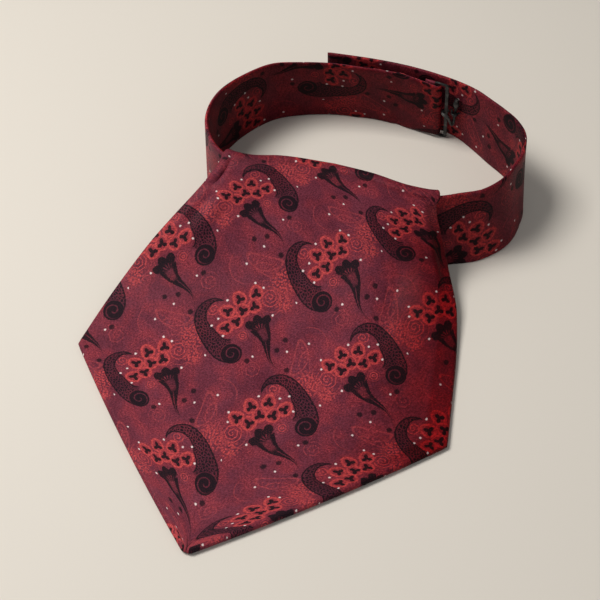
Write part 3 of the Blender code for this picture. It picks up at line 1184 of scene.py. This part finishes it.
LEFT_BAND = (
    BandRow(-0.15, 166.2, 3.0),
    BandRow(-22.0, 163.6, 2.0),
    BandRow(-35.0, 159.9, 1.0),
    BandRow(-44.6, 160.2, 0.5),
    BandRow(-51.5, 164.4, 0.5),
    BandRow(-56.6, 170.3, 0.8),
    BandRow(-60.4, 177.0, 0.8),
    BandRow(-62.6, 186.0, 0.0),
    BandRow(-62.2, 196.0, -0.8),
    BandRow(-56.6, 209.2, 0.8),
    BandRow(-45.5, 222.0, 3.1),
    BandRow(-34.7, 227.1, 5.2),
    BandRow(-24.5, 230.4, 6.1),
    BandRow(-13.6, 232.6, 6.8),
    BandRow(-2.9, 233.8, 7.0),
    BandRow(10.0, 234.0, 6.2),
    BandRow(19.0, 233.4, 5.6, 0.9),
    BandRow(26.0, 232.6, 5.4, 1.8),
)
RIGHT_BAND = (
    BandRow(0.15, 166.2, 3.0),
    BandRow(16.0, 166.0, 3.4),
    BandRow(33.0, 164.2, 4.4),
    BandRow(44.5, 165.6, 5.6),
    BandRow(52.5, 170.2, 6.4),
    BandRow(60.6, 175.8, 6.8),
    BandRow(67.2, 184.2, 6.8),
    BandRow(70.1, 195.2, 5.8),
    BandRow(71.2, 204.5, 3.6),
    BandRow(69.8, 213.4, 1.6),
    BandRow(65.0, 220.2, 0.8),
    BandRow(57.8, 225.8, 0.9),
    BandRow(46.6, 232.8, 1.6),
    BandRow(35.6, 236.9, 4.2),
    BandRow(26.0, 238.9, 5.2),
    BandRow(13.1, 240.1, 4.4),
    BandRow(-4.7, 239.8, 4.6),
    BandRow(-15.6, 238.7, 4.6),
    BandRow(-25.7, 237.4, 4.4),
)
BLADE_ROWS = (
    BladeRow(5.0, -46.4, 152.5, 36.0, 162.7, 35.6, 45.6, 161.6, 35.0),
    BladeRow(11.0, -48.9, 148.5, 33.0, 158.6, 31.6, 47.5, 158.1, 29.8),
    BladeRow(20.0, -53.0, 141.8, 28.3, 151.9, 25.2, 51.2, 154.3, 22.6),
    BladeRow(33.0, -58.9, 131.9, 22.0, 141.2, 17.2, 56.5, 148.8, 13.2),
    BladeRow(46.0, -64.6, 122.0, 15.3, 129.3, 10.0, 62.0, 139.0, 6.3),
    BladeRow(60.0, -69.3, 110.5, 9.0, 115.9, 4.9, 66.2, 125.5, 2.9),
    BladeRow(77.0, -73.2, 94.5, 4.4, 99.5, 2.1, 70.0, 108.0, 1.5),
    BladeRow(100.0, -76.0, 72.8, 1.5, 73.0, 1.5, 75.9, 73.2, 1.5),
)
# The last value of each grain is painted shade: each face of the neckband is darkened by its
# own amount so that it looks shaded.
LEFT_GRAINS = (
    Grain(-25.0, 30.0, 14.0, 0.0, 0.05),
    Grain(190.0, 187.0, -9.6, 0.0, 0.52),
)
RIGHT_GRAINS = (
    Grain(-25.0, 96.2, 40.4, 0.0, 0.44),
    Grain(170.0, -113.5, -4.8, 0.0, 0.38),
)
LEFT_RIPPLES = (
    Ripple(176.0, 2.4, 0.55, 1.5),
    Ripple(157.0, 5.0, -0.45, 0.0),
    Ripple(120.0, 7.0, 0.4, -3.0),
)
RIGHT_RIPPLES = (
    Ripple(62.0, 6.0, 0.4, 3.0),
    Ripple(92.0, 5.0, 0.45, -2.0),
    Ripple(128.0, 6.0, -0.4, 4.0),
)
BLADE_CREASES = (
    Crease(-41.0, 171.5, -45.6, 159.6, 0.8, -1.9, 0.0),
    Crease(-43.4, 168.5, -47.5, 158.0, 1.8, 0.45, 0.0),
    Crease(-45.0, 163.0, -51.0, 122.0, 3.2, -0.4, 0.0),
    Crease(40.0, 146.0, 44.5, 104.0, 5.0, 0.35, -0.7),
    Crease(26.0, 168.0, 30.0, 140.0, 7.0, -0.5, 0.0),
    Crease(-8.0, 160.0, 6.0, 118.0, 9.0, -0.45, 0.3),
    Crease(-30.0, 120.0, 10.0, 60.0, 14.0, 0.4, 0.4),
)
BLADE_GRAIN = Grain(-45.0, 70.5, -22.6, 0.137)


@dataclass
class Blade:
    """The folded five-sided apron."""

    left: Neckband
    right: Neckband
    rows: tuple[BladeRow, ...] = BLADE_ROWS
    folds: tuple[Fold, ...] = (
        Fold(0.82, 0.20, 2.4, 8.0, 80.0),
        Fold(-0.80, 0.11, 1.3, 6.0, 58.0),
        Fold(-0.93, 0.06, -1.3, 5.0, 18.0),
        Fold(0.42, 0.20, 0.9, 22.0, 78.0),
    )
    creases: tuple[Crease, ...] = BLADE_CREASES
    turned_edges: tuple[TurnedEdge, ...] = (
        TurnedEdge(1, 0.89, 4.4, 2.0, 52.0),
        TurnedEdge(-1, 0.94, 0.9, 8.0, 60.0),
    )
    crowds_above: float = 135.0
    crowding: float = 0.0099
    gap: float = 0.3
    play: float = 0.1
    hang: float = 20.0
    wall_at_fold: float = 2.0
    wall_flat: float = 3.0
    wall_grows: tuple[float, float] = (15.0, 75.0)
    ridge_x: tuple[float, float] = (-44.6, 44.4)
    front_ends_y: float = 185.0
    roll_exits: tuple[float, float, float] = (72.0, 45.0, 34.0)
    mean_roll: float = 135.0
    wave_fades_by: float = 45.0
    tip_half_width: float = 1.0
    tip_round: float = 0.1
    edge_bow: float = 1.3
    lies_flat_below: float = 0.1
    columns: int = 150
    hang_steps: int = 14
    roll_steps: int = 20
    slope_steps: int = 96
    point_steps: int = 56
    edge_crowding: float = 0.38
    fold_crowding: float = 0.45
    rim_steps: int = 7
    # Painted shade: how far the colour is darkened over the fold, on the right margin and at
    # the right edge, where the cloth faces away from the light.
    fold_painted_shade: float = 0.28
    margin_painted_shade: float = 0.55
    edge_painted_shade: float = 0.2
    edge_eases_over: float = 9.0
    crease_fades: tuple[float, float] = (0.35, 0.6)

    def across(self) -> Array:
        """How far across each column lies, closer together at the edges.

        Returns:
            Rising places from -1 to 1.
        """
        even = np.linspace(-1.0, 1.0, self.columns + 1)
        crowded = np.sin(even * math.pi / 2)
        return (1 - self.edge_crowding) * even + self.edge_crowding * crowded

    def ridge(self, across: Array) -> tuple[Array, Array]:
        """Where the roll over the band is centred, and its way out.

        Args:
            across: How far across each column lies, from -1 to 1.

        Returns:
            The centre and the outward direction of each column.
        """
        left = self.left.lines()
        right = self.right.lines()
        head = np.vstack([left[0][::-1], right[0]])
        foot = np.vstack([left[1][::-1], right[1]])
        front = head[:, 1] < self.front_ends_y
        head, foot = head[front], foot[front]
        lean = np.linalg.norm(head - foot, axis=1)
        tall = np.sqrt(self.left.height**2 - lean**2)
        low, high = self.ridge_x
        x = low + (high - low) * (across + 1) / 2
        y = np.interp(x, head[:, 0], head[:, 1])
        z = np.interp(x, head[:, 0], tall) - self.left.wall / 2
        along = unit(np.stack([np.gradient(x), np.gradient(y)], axis=1))
        out = np.stack([along[:, 1], -along[:, 0], np.zeros(len(x))], axis=1)
        return np.stack([x, y, z], axis=1), out

    def middle(self, across: Array) -> tuple[Array, Array]:
        """The middle of the blade's wall.

        Args:
            across: How far across each column lies, from -1 to 1.

        Returns:
            A grid of points, and each row's distance from the fold.
        """
        inset = self.wall_flat / 2
        centres, outward = self.ridge(across)
        radius = self.left.wall / 2 + self.gap + self.play + self.wall_at_fold / 2
        exits = through_three(*self.roll_exits, across)
        up = np.array([0.0, 0.0, 1.0])
        rows = []
        along = []
        for f in np.linspace(1.0, 0.0, self.hang_steps + 1)[:-1]:
            rows.append(centres - radius * outward - f * self.hang * up)
            along.append(-f * self.hang - radius * math.pi / 2)
        for f in np.linspace(0.0, 1.0, self.roll_steps + 1):
            angle = np.radians(f * (180.0 - exits))[:, None]
            turned = np.sin(angle) * up - np.cos(angle) * outward
            rows.append(centres + radius * turned)
            along.append(radius * (math.radians(f * self.mean_roll) - math.pi / 2))
        ridge_y = centres[:, 1]
        half_way = ridge_y[len(ridge_y) // 2]
        wave = ridge_y - through_three(ridge_y[0], half_way, ridge_y[-1], across)
        table = np.array(self.rows, float)
        starts = np.linspace(0.0, 1.0, self.slope_steps + 1)
        crowded = (1 - self.fold_crowding) * starts + self.fold_crowding * starts**2
        at = table[0, 0] + (table[-1, 0] - table[0, 0]) * crowded
        for line in smooth(table[:, 0], table, at):
            row = BladeRow(*line)
            left_x = row.left_x + inset
            right_x = row.right_x - inset
            x = through_three(left_x, (left_x + right_x) / 2, right_x, across)
            y = through_three(row.left_y, row.middle_y, row.right_y, across)
            y = y + wave * (1 - ease(0.0, self.wave_fades_by, row.along))
            z = through_three(row.left_z, row.middle_z, row.right_z, across)
            rows.append(np.stack([x, y, z], axis=1))
            along.append(row.along)
        corner = rows[-1]
        tip_y = inset + self.tip_round
        tip = corner.copy()
        tip[:, 0] = self.tip_half_width * across
        tip[:, 1] = tip_y
        for f in np.linspace(0.0, 1.0, self.point_steps + 1)[1:]:
            row = corner + f * (tip - corner)
            bow = self.edge_bow * 2 * f * (1 - f) * math.sqrt(2)
            row[:, 0] += bow * across
            row[:, 1] -= bow * across**2
            rows.append(row)
            along.append(table[-1, 0] + f * (corner[0, 1] - tip_y))
        return np.array(rows), np.array(along)

    def fold_rise(self, across: Array, along: Array) -> Array:
        """How far the large folds lift each point.

        Args:
            across: How far across each column lies, from -1 to 1.
            along: How far each row is from the fold.

        Returns:
            The lift in millimetres.
        """
        rise = np.zeros((len(along), len(across)))
        for fold in self.folds:
            near = np.clip(1 - np.abs(across - fold.across) / fold.half_width, 0, 1)
            halfway = (fold.starts + fold.ends) / 2
            runs = ease(fold.starts, halfway, along)
            runs = runs * (1 - ease(halfway, fold.ends, along))
            rise += fold.rise * runs[:, None] * ease(0.0, 1.0, near)[None, :]
        return rise

    def flat_places(self, middle: Array, along: Array) -> Array:
        """Where each point lies on the flat blade, from its tip.

        Args:
            middle: The grid of points in the middle of the wall.
            along: How far each row is from the fold.

        Returns:
            A flat place for each point, with a third value of 0.
        """
        corner = int(np.argmin(np.abs(along - self.rows[-1].along)))
        down = np.linalg.norm(np.diff(middle, axis=0), axis=2)
        y = np.zeros(middle.shape[:2])
        y[corner] = middle[corner, :, 1]
        y[:corner] = y[corner] + np.cumsum(down[:corner][::-1], axis=0)[::-1]
        y[corner + 1 :] = y[corner] - np.cumsum(down[corner:], axis=0)
        side = np.linalg.norm(np.diff(middle, axis=1), axis=2)
        x = np.concatenate([np.zeros((len(middle), 1)), np.cumsum(side, axis=1)], axis=1)
        x = x - x[:, [x.shape[1] // 2]]
        return np.stack([x, y, np.zeros_like(x)], axis=-1)

    def painted_shade_map(self, across: Array, along: Array) -> Array:
        """How much painted shade darkens each point: over the fold, and on the right margin and
        edge, where the cloth is to look shaded.

        Args:
            across: How far across each column lies, from -1 to 1.
            along: How far each row is from the fold.

        Returns:
            The dullness, from 0.
        """
        over = 1 - ease(-1.0, 9.0, along)
        margin = ease(-5.0, 30.0, along) * (1 - ease(90.0, 150.0, along))
        right = self.margin_painted_shade * ease(0.3, 0.9, across)
        right = right + self.edge_painted_shade * ease(0.88, 0.95, across)
        return self.fold_painted_shade * over[:, None] + margin[:, None] * right[None, :]

    def edge_drop(self, across: Array, along: Array) -> Array:
        """How far the turned edges fall below the blade at each point.

        Args:
            across: How far across each column lies, from -1 to 1.
            along: How far each row is from the fold.

        Returns:
            The drop in millimetres.
        """
        drop = np.zeros((len(along), len(across)))
        for edge in self.turned_edges:
            past = np.clip((edge.side * across - edge.across) / (1 - edge.across), 0, 1)
            runs = ease(edge.starts, edge.starts + self.edge_eases_over, along)
            runs = runs * (1 - ease((edge.starts + edge.ends) / 2, edge.ends, along))
            drop += edge.drop * runs[:, None] * (past * ease(0.0, 0.5, past))[None, :]
        return drop

    def crease_rise(self, flat: Array) -> Array:
        """How far the creases lift each point of the flat blade.

        Args:
            flat: The place of each point on the flat blade.

        Returns:
            The lift in millimetres.
        """
        rise = np.zeros(flat.shape[:2])
        for crease in self.creases:
            start = np.array([crease.from_x, crease.from_y])
            way = np.array([crease.to_x, crease.to_y]) - start
            length = float(np.linalg.norm(way))
            way = way / length
            off = flat[..., :2] - start
            run = off @ way
            side = (off @ np.array([way[1], -way[0]])) / crease.width
            full, fades = self.crease_fades
            fade = ease(0.0, length * full, run)
            fade = fade * (1 - ease(length * fades, length, run))
            bell = np.exp(-(side**2))
            rise += fade * bell * (crease.rise + crease.step * side)
        return rise

    def build(self, name: str, finish: Material) -> Piece:
        """Makes the closed shell with a rolled edge all round.

        Args:
            name: The piece's name.
            finish: The silk.

        Returns:
            The piece.
        """
        across = self.across()
        middle, along = self.middle(across)
        middle = middle + self.fold_rise(across, along)[..., None] * grid_normals(middle)
        flat = self.flat_places(middle, along)
        moved = self.crease_rise(flat) - self.edge_drop(across, along)
        middle = middle + moved[..., None] * grid_normals(middle)
        # The third place value is painted shade, which the silk reads to darken the colour.
        flat[..., 2] = self.painted_shade_map(across, along)
        flat[..., 1] += self.crowding * np.maximum(flat[..., 1] - self.crowds_above, 0) ** 2
        normals = grid_normals(middle)
        grown = ease(*self.wall_grows, along)
        wall = self.wall_at_fold + (self.wall_flat - self.wall_at_fold) * grown
        half = (wall / 2)[:, None, None]
        top = middle + half * normals
        under = middle - half * normals
        touches = under[..., 2] < self.lies_flat_below
        under[..., 2] = np.where(touches, 0.0, under[..., 2])
        return self.close(name, top, under, normals, flat, finish)

    def close(
        self, name: str, top: Array, under: Array, normals: Array, flat: Array, finish: Material
    ) -> Piece:
        """Joins the face and the underside round a rolled rim.

        Args:
            name: The piece's name.
            top: The grid of points on the face.
            under: The grid of points on the underside.
            normals: The face's normal at each point.
            flat: Each point's place on the flat blade, and its painted shade.
            finish: The silk.

        Returns:
            The piece.
        """
        rows, columns = top.shape[:2]
        size = rows * columns
        points = [top.reshape(-1, 3), under.reshape(-1, 3)]
        places = [flat.reshape(-1, 3), flat.reshape(-1, 3)]
        faces = []
        for r in range(rows - 1):
            for c in range(columns - 1):
                a = r * columns + c
                b = a + columns
                faces.append((a, b, b + 1, a + 1))
                faces.append((size + a, size + a + 1, size + b + 1, size + b))
        ring = [(0, c) for c in range(columns)]
        ring += [(r, columns - 1) for r in range(1, rows)]
        ring += [(rows - 1, c) for c in range(columns - 2, -1, -1)]
        ring += [(r, 0) for r in range(rows - 2, 0, -1)]
        at = tuple(np.array(ring).T)
        upper, lower = top[at], under[at]
        line = (upper + lower) / 2
        ahead = unit(np.roll(line, -1, axis=0) - np.roll(line, 1, axis=0))
        outward = unit(np.cross(normals[at], ahead))
        outside = np.sum(outward * (line - line.mean(axis=0)), axis=1)
        outward *= np.sign(outside)[:, None]
        lift = (upper - lower) / 2
        deep = np.linalg.norm(lift, axis=1)[:, None]
        edge = flat[at]
        flat_ahead = unit(np.roll(edge, -1, axis=0) - np.roll(edge, 1, axis=0))
        flat_out = flat_ahead[:, [1, 0, 2]] * (1.0, -1.0, 0.0)
        flat_side = np.sum(flat_out * (edge - edge.mean(axis=0)), axis=1)
        flat_out *= np.sign(flat_side)[:, None]
        corners = [r * columns + c for r, c in ring]
        loops = [corners]
        count = 2 * size
        for angle in np.linspace(math.pi / 2, -math.pi / 2, self.rim_steps + 2)[1:-1]:
            points.append(line + math.cos(angle) * deep * outward + math.sin(angle) * lift)
            places.append(edge + (math.pi / 2 - angle) * deep * flat_out)
            loops.append(list(range(count, count + len(ring))))
            count += len(ring)
        loops.append([size + corner for corner in corners])
        for higher, deeper in zip(loops, loops[1:]):
            for k in range(len(ring)):
                n = (k + 1) % len(ring)
                faces.append((higher[k], higher[n], deeper[n], deeper[k]))
        pattern = on_pattern(np.vstack(places), BLADE_GRAIN)[None]
        return add_mesh(name, np.vstack(points), faces, pattern, finish)


class WirePoint(NamedTuple):
    """A point of the hook, in the clasp's own axes, and the wire's swell."""

    beside: float
    height: float
    depth: float
    swell: float


class EyePoint(NamedTuple):
    """A point of the eye, as a share of its reach to each side, and a depth."""

    side: float
    depth: float


@dataclass
class Clasp:
    """The slide on the left half's end, its hook and the eye."""

    band: Neckband
    slide_wire: float = 0.8
    slide_bar: float = 1.6
    slide_width: float = 6.8
    slide_base: float = 0.35
    slide_top: float = 35.8
    slide_rail: float = 1.0
    slide_corner: float = 1.0
    slide_bevel: float = 0.3
    hook_wire: float = 1.1
    eye_wire: float = 0.9
    wire_looks: float = 1.3
    eye_gap: float = 0.4
    eye_beside: float = 3.9
    eye_height: float = 18.0
    wire_steps: int = 8
    hook_route: tuple[WirePoint, ...] = (
        WirePoint(0.9, 17.4, 1.35, 1.0),
        WirePoint(-0.6, 17.4, 1.35, 1.0),
        WirePoint(-1.65, 17.3, 0.3, 1.0),
        WirePoint(-1.45, 17.2, -0.75, 1.0),
        WirePoint(-0.3, 17.0, -1.35, 1.0),
        WirePoint(1.6, 15.6, -1.15, 1.0),
        WirePoint(2.6, 11.4, -0.3, 1.0),
        WirePoint(3.1, 10.3, 0.2, 1.0),
        WirePoint(3.5, 11.6, 0.6, 1.0),
        WirePoint(3.8, 16.0, 0.8, 1.0),
        WirePoint(4.1, 20.5, 0.9, 1.0),
        WirePoint(4.3, 24.0, 0.8, 1.9),
        WirePoint(4.4, 27.2, 0.7, 1.2),
    )
    eye_route: tuple[EyePoint, ...] = (
        EyePoint(-1.4, 2.0),
        EyePoint(-1.0, 1.0),
        EyePoint(-0.7, -0.25),
        EyePoint(0.0, -0.7),
        EyePoint(0.7, -0.25),
        EyePoint(1.0, 1.0),
        EyePoint(1.4, 1.5),
    )

    def axes(self) -> Lines:
        """The clasp's corner at the foot, then the ways along, up and out.

        Returns:
            The corner and the three directions.
        """
        head, foot, _, outward = self.band.lines()
        out = np.append(outward[-1], 0.0)
        along = np.append(unit(head[-1] - head[-2]), 0.0)
        lean = float(np.linalg.norm(head[-1] - foot[-1]))
        tall = math.sqrt(self.band.height**2 - lean**2)
        low = np.append(foot[-1], 0.0) + self.band.loop_radius * out
        high = np.append(head[-1], tall) + self.band.loop_radius * out
        up = unit(high - low)
        return low, along, up, unit(np.cross(up, along))

    def outer_bar(self) -> float:
        """Where the slide's outer bar is, from the corner of the clasp."""
        return self.slide_width - self.slide_bar - (self.slide_bar - self.slide_wire) / 2

    def frame_ring(
        self, left: float, right: float, base: float, head: float, radius: float
    ) -> list[tuple[float, float]]:
        """The points of an upright rectangle with rounded corners.

        Args:
            left: Its left side.
            right: Its right side.
            base: Its lower side.
            head: Its upper side.
            radius: The radius of its corners.

        Returns:
            The points in order round it.
        """
        corners = (
            (right - radius, head - radius, 0),
            (left + radius, head - radius, 90),
            (left + radius, base + radius, 180),
            (right - radius, base + radius, 270),
        )
        ring = []
        for x, z, first in corners:
            for step in range(0, 91, 15):
                a = math.radians(first + step)
                ring.append((x + radius * math.cos(a), z + radius * math.sin(a)))
        return ring

    def slide(self, name: str, finish: Material) -> Piece:
        """The flat frame, with its edges rounded off.

        Args:
            name: The piece's name.
            finish: The material to dress it in.

        Returns:
            The piece.
        """
        low, along, up, out = self.axes()
        left = -self.slide_bar / 2 - (self.slide_bar - self.slide_wire) / 2
        right = left + self.slide_width
        outer = self.frame_ring(left, right, self.slide_base, self.slide_top, self.slide_corner)
        inner = self.frame_ring(
            left + self.slide_bar,
            right - self.slide_bar,
            self.slide_base + self.slide_rail,
            self.slide_top - self.slide_rail,
            self.slide_corner / 2,
        )
        points = []
        for ring in (outer, inner):
            for depth in (-self.slide_wire / 2, self.slide_wire / 2):
                points += [low + x * along + z * up + depth * out for x, z in ring]
        size = len(outer)
        faces = []
        for first, second in ((0, 1), (1, 3), (3, 2), (2, 0)):
            a, b = first * size, second * size
            for k in range(size):
                n = (k + 1) % size
                faces.append((b + k, b + n, a + n, a + k))
        body = add_mesh(name, np.array(points), faces, np.zeros((1, size * 4, 3)), finish)
        bevel = body.modifiers.new("rounded edges", "BEVEL")
        bevel.width = self.slide_wire * self.slide_bevel * MM
        bevel.segments = 3
        bevel.limit_method = "ANGLE"
        return body

    def wire(
        self, name: str, route: Sequence[Sequence[float]], width: float, finish: Material
    ) -> Piece:
        """A round wire along a route in the clasp's own axes.

        Args:
            name: The piece's name.
            route: The way along, the height, the depth and the swell of each point.
            width: The wire's thickness in the solids.
            finish: The material to dress it in.

        Returns:
            The piece.
        """
        low, along, up, out = self.axes()
        knots = np.arange(len(route), dtype=float)
        at = np.linspace(0, len(route) - 1, self.wire_steps * (len(route) - 1) + 1)
        curve = bpy.data.curves.new(name, "CURVE")
        curve.dimensions = "3D"
        curve.bevel_depth = width * self.wire_looks / 2 * MM
        curve.bevel_resolution = 5
        curve.use_fill_caps = True
        line = smooth(knots, np.array(route), at)
        spline = curve.splines.new("POLY")
        spline.points.add(len(line) - 1)
        for point, (x, z, depth, swell) in zip(spline.points, line):
            place = low + x * along + z * up + depth * out
            point.co = (*((place - ORIGIN) * MM), 1.0)
            point.radius = swell
        curve.materials.append(finish)
        return stand(name, curve)

    def hook(self, name: str, finish: Material) -> Piece:
        """The wire turned round the slide's outer bar and bent up to a knob."""
        bar = self.outer_bar()
        route = [(bar + row.beside, *row[1:]) for row in self.hook_route]
        return self.wire(name, route, self.hook_wire, finish)

    def eye(self, name: str, finish: Material) -> Piece:
        """The staple on the right half that holds the hook's leg.

        Args:
            name: The piece's name.
            finish: The material to dress it in.

        Returns:
            The piece.
        """
        reach = self.hook_wire / 2 + self.eye_gap + self.eye_wire / 2
        middle = self.outer_bar() + self.eye_beside
        route = [
            (middle + row.side * reach, self.eye_height, row.depth, 1.0)
            for row in self.eye_route
        ]
        return self.wire(name, route, self.eye_wire, finish)


class Lamp(NamedTuple):
    """A square soft light that faces the cravat, in metres and watts."""

    name: str
    place: tuple[float, float, float]
    size: float
    power: float
    color: tuple[float, float, float]


@dataclass(frozen=True)
class Studio:
    """The floor, the lights and the camera."""

    elevation: float = 50.0
    azimuth: float = 18.93
    distance: float = 516.3
    aim_y: float = 124.0
    aim_x: float = 0.0
    lens: float = 75.0
    sensor: float = 36.0
    floor_size: float = 4000.0
    clip_start: float = 0.01
    floor_color: Color = (0.74, 0.70, 0.635, 1.0)
    floor_shade: float = 0.96
    floor_roughness: float = 0.7
    sky_color: Color = (1.0, 0.98, 0.95, 1.0)
    sky_strength: float = 0.2
    lamps: tuple[Lamp, ...] = (
        Lamp("key", (-0.48, -0.06, 0.86), 0.4, 8.6, (1.0, 0.965, 0.92)),
        Lamp("fill", (0.7, -0.8, 0.9), 1.2, 2.0, (0.93, 0.96, 1.0)),
    )

    def camera(self) -> None:
        """Sets the camera at the photograph's angle."""
        aim = (np.array([self.aim_x, self.aim_y, 0.0]) - ORIGIN) * MM
        e, a = math.radians(self.elevation), math.radians(self.azimuth)
        back = np.array([math.sin(a) * math.cos(e), -math.cos(a) * math.cos(e), math.sin(e)])
        data = bpy.data.cameras.new("camera")
        data.lens = self.lens
        data.sensor_width = self.sensor
        data.clip_start = self.clip_start
        eye = stand("camera", data)
        eye.location = aim + back * self.distance * MM
        eye.rotation_euler = Vector(-back).to_track_quat("-Z", "Y").to_euler()
        bpy.context.scene.camera = eye

    def floor(self) -> None:
        """Lays the plain pale floor."""
        made, net, shader = new_material("pale floor")
        cloud = net.cloud(net.node("TexCoord").outputs["Object"], 3.0)
        darker = tuple(self.floor_shade * part for part in self.floor_color[:3]) + (1.0,)
        color = net.mix(cloud, self.floor_color, darker)
        net.fill(shader, {"Base Color": color, "Roughness": self.floor_roughness})
        half = self.floor_size / 2 * MM
        mesh = bpy.data.meshes.new("floor")
        corners = [(-half, -half, 0), (half, -half, 0), (half, half, 0), (-half, half, 0)]
        mesh.from_pydata(corners, [], [(0, 1, 2, 3)])
        mesh.materials.append(made)
        body = stand("floor", mesh)

    def light(self, lamp: Lamp) -> None:
        """Adds one of the lights.

        Args:
            lamp: The light.
        """
        data = bpy.data.lights.new(lamp.name, "AREA")
        data.size = lamp.size
        data.energy = lamp.power
        data.color = lamp.color
        body = stand(lamp.name, data)
        body.location = lamp.place
        body.rotation_euler = (-Vector(lamp.place)).to_track_quat("-Z", "Y").to_euler()

    def build(self) -> None:
        """Sets up the whole studio."""
        self.camera()
        self.floor()
        for lamp in self.lamps:
            self.light(lamp)
        bpy.context.scene.view_settings.view_transform = "Standard"
        world = bpy.data.worlds.new("studio")
        bpy.context.scene.world = world
        world.use_nodes = True
        sky = world.node_tree.nodes["Background"].inputs
        sky["Color"].default_value = self.sky_color
        sky["Strength"].default_value = self.sky_strength


def dress(piece: Piece, node: str) -> Piece:
    """Puts a piece in the place of its solid.

    Args:
        piece: The piece.
        node: The solid's node.

    Returns:
        The piece.
    """
    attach(piece, "root")
    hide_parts(node)
    log.info("%s stands for %s", piece.name, node)
    return piece


def main() -> None:
    """Builds the cravat's pieces in order."""
    logging.basicConfig(level=logging.INFO, format="%(name)s: %(message)s")
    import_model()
    silk = SilkFinish().build()
    lacquer = LacquerFinish().build()
    left = Neckband(Side.LEFT, LEFT_BAND, *LEFT_GRAINS, LEFT_RIPPLES)
    right = Neckband(Side.RIGHT, RIGHT_BAND, *RIGHT_GRAINS, RIGHT_RIPPLES)
    left_cloth = dress(left.build("neckband_left_cloth", silk), "neckband_left")
    right_cloth = dress(right.build("neckband_right_cloth", silk), "neckband_right")
    blade = Blade(left, right)
    blade_cloth = dress(blade.build("blade_cloth", silk), "blade")
    clasp = Clasp(left)
    dress(clasp.slide("slide_frame", lacquer), "clasp_slide")
    dress(clasp.hook("hook_wire", lacquer), "clasp_hook")
    dress(clasp.eye("eye_wire", lacquer), "clasp_eye")
    Studio().build()


if __name__ == "__main__":
    main()
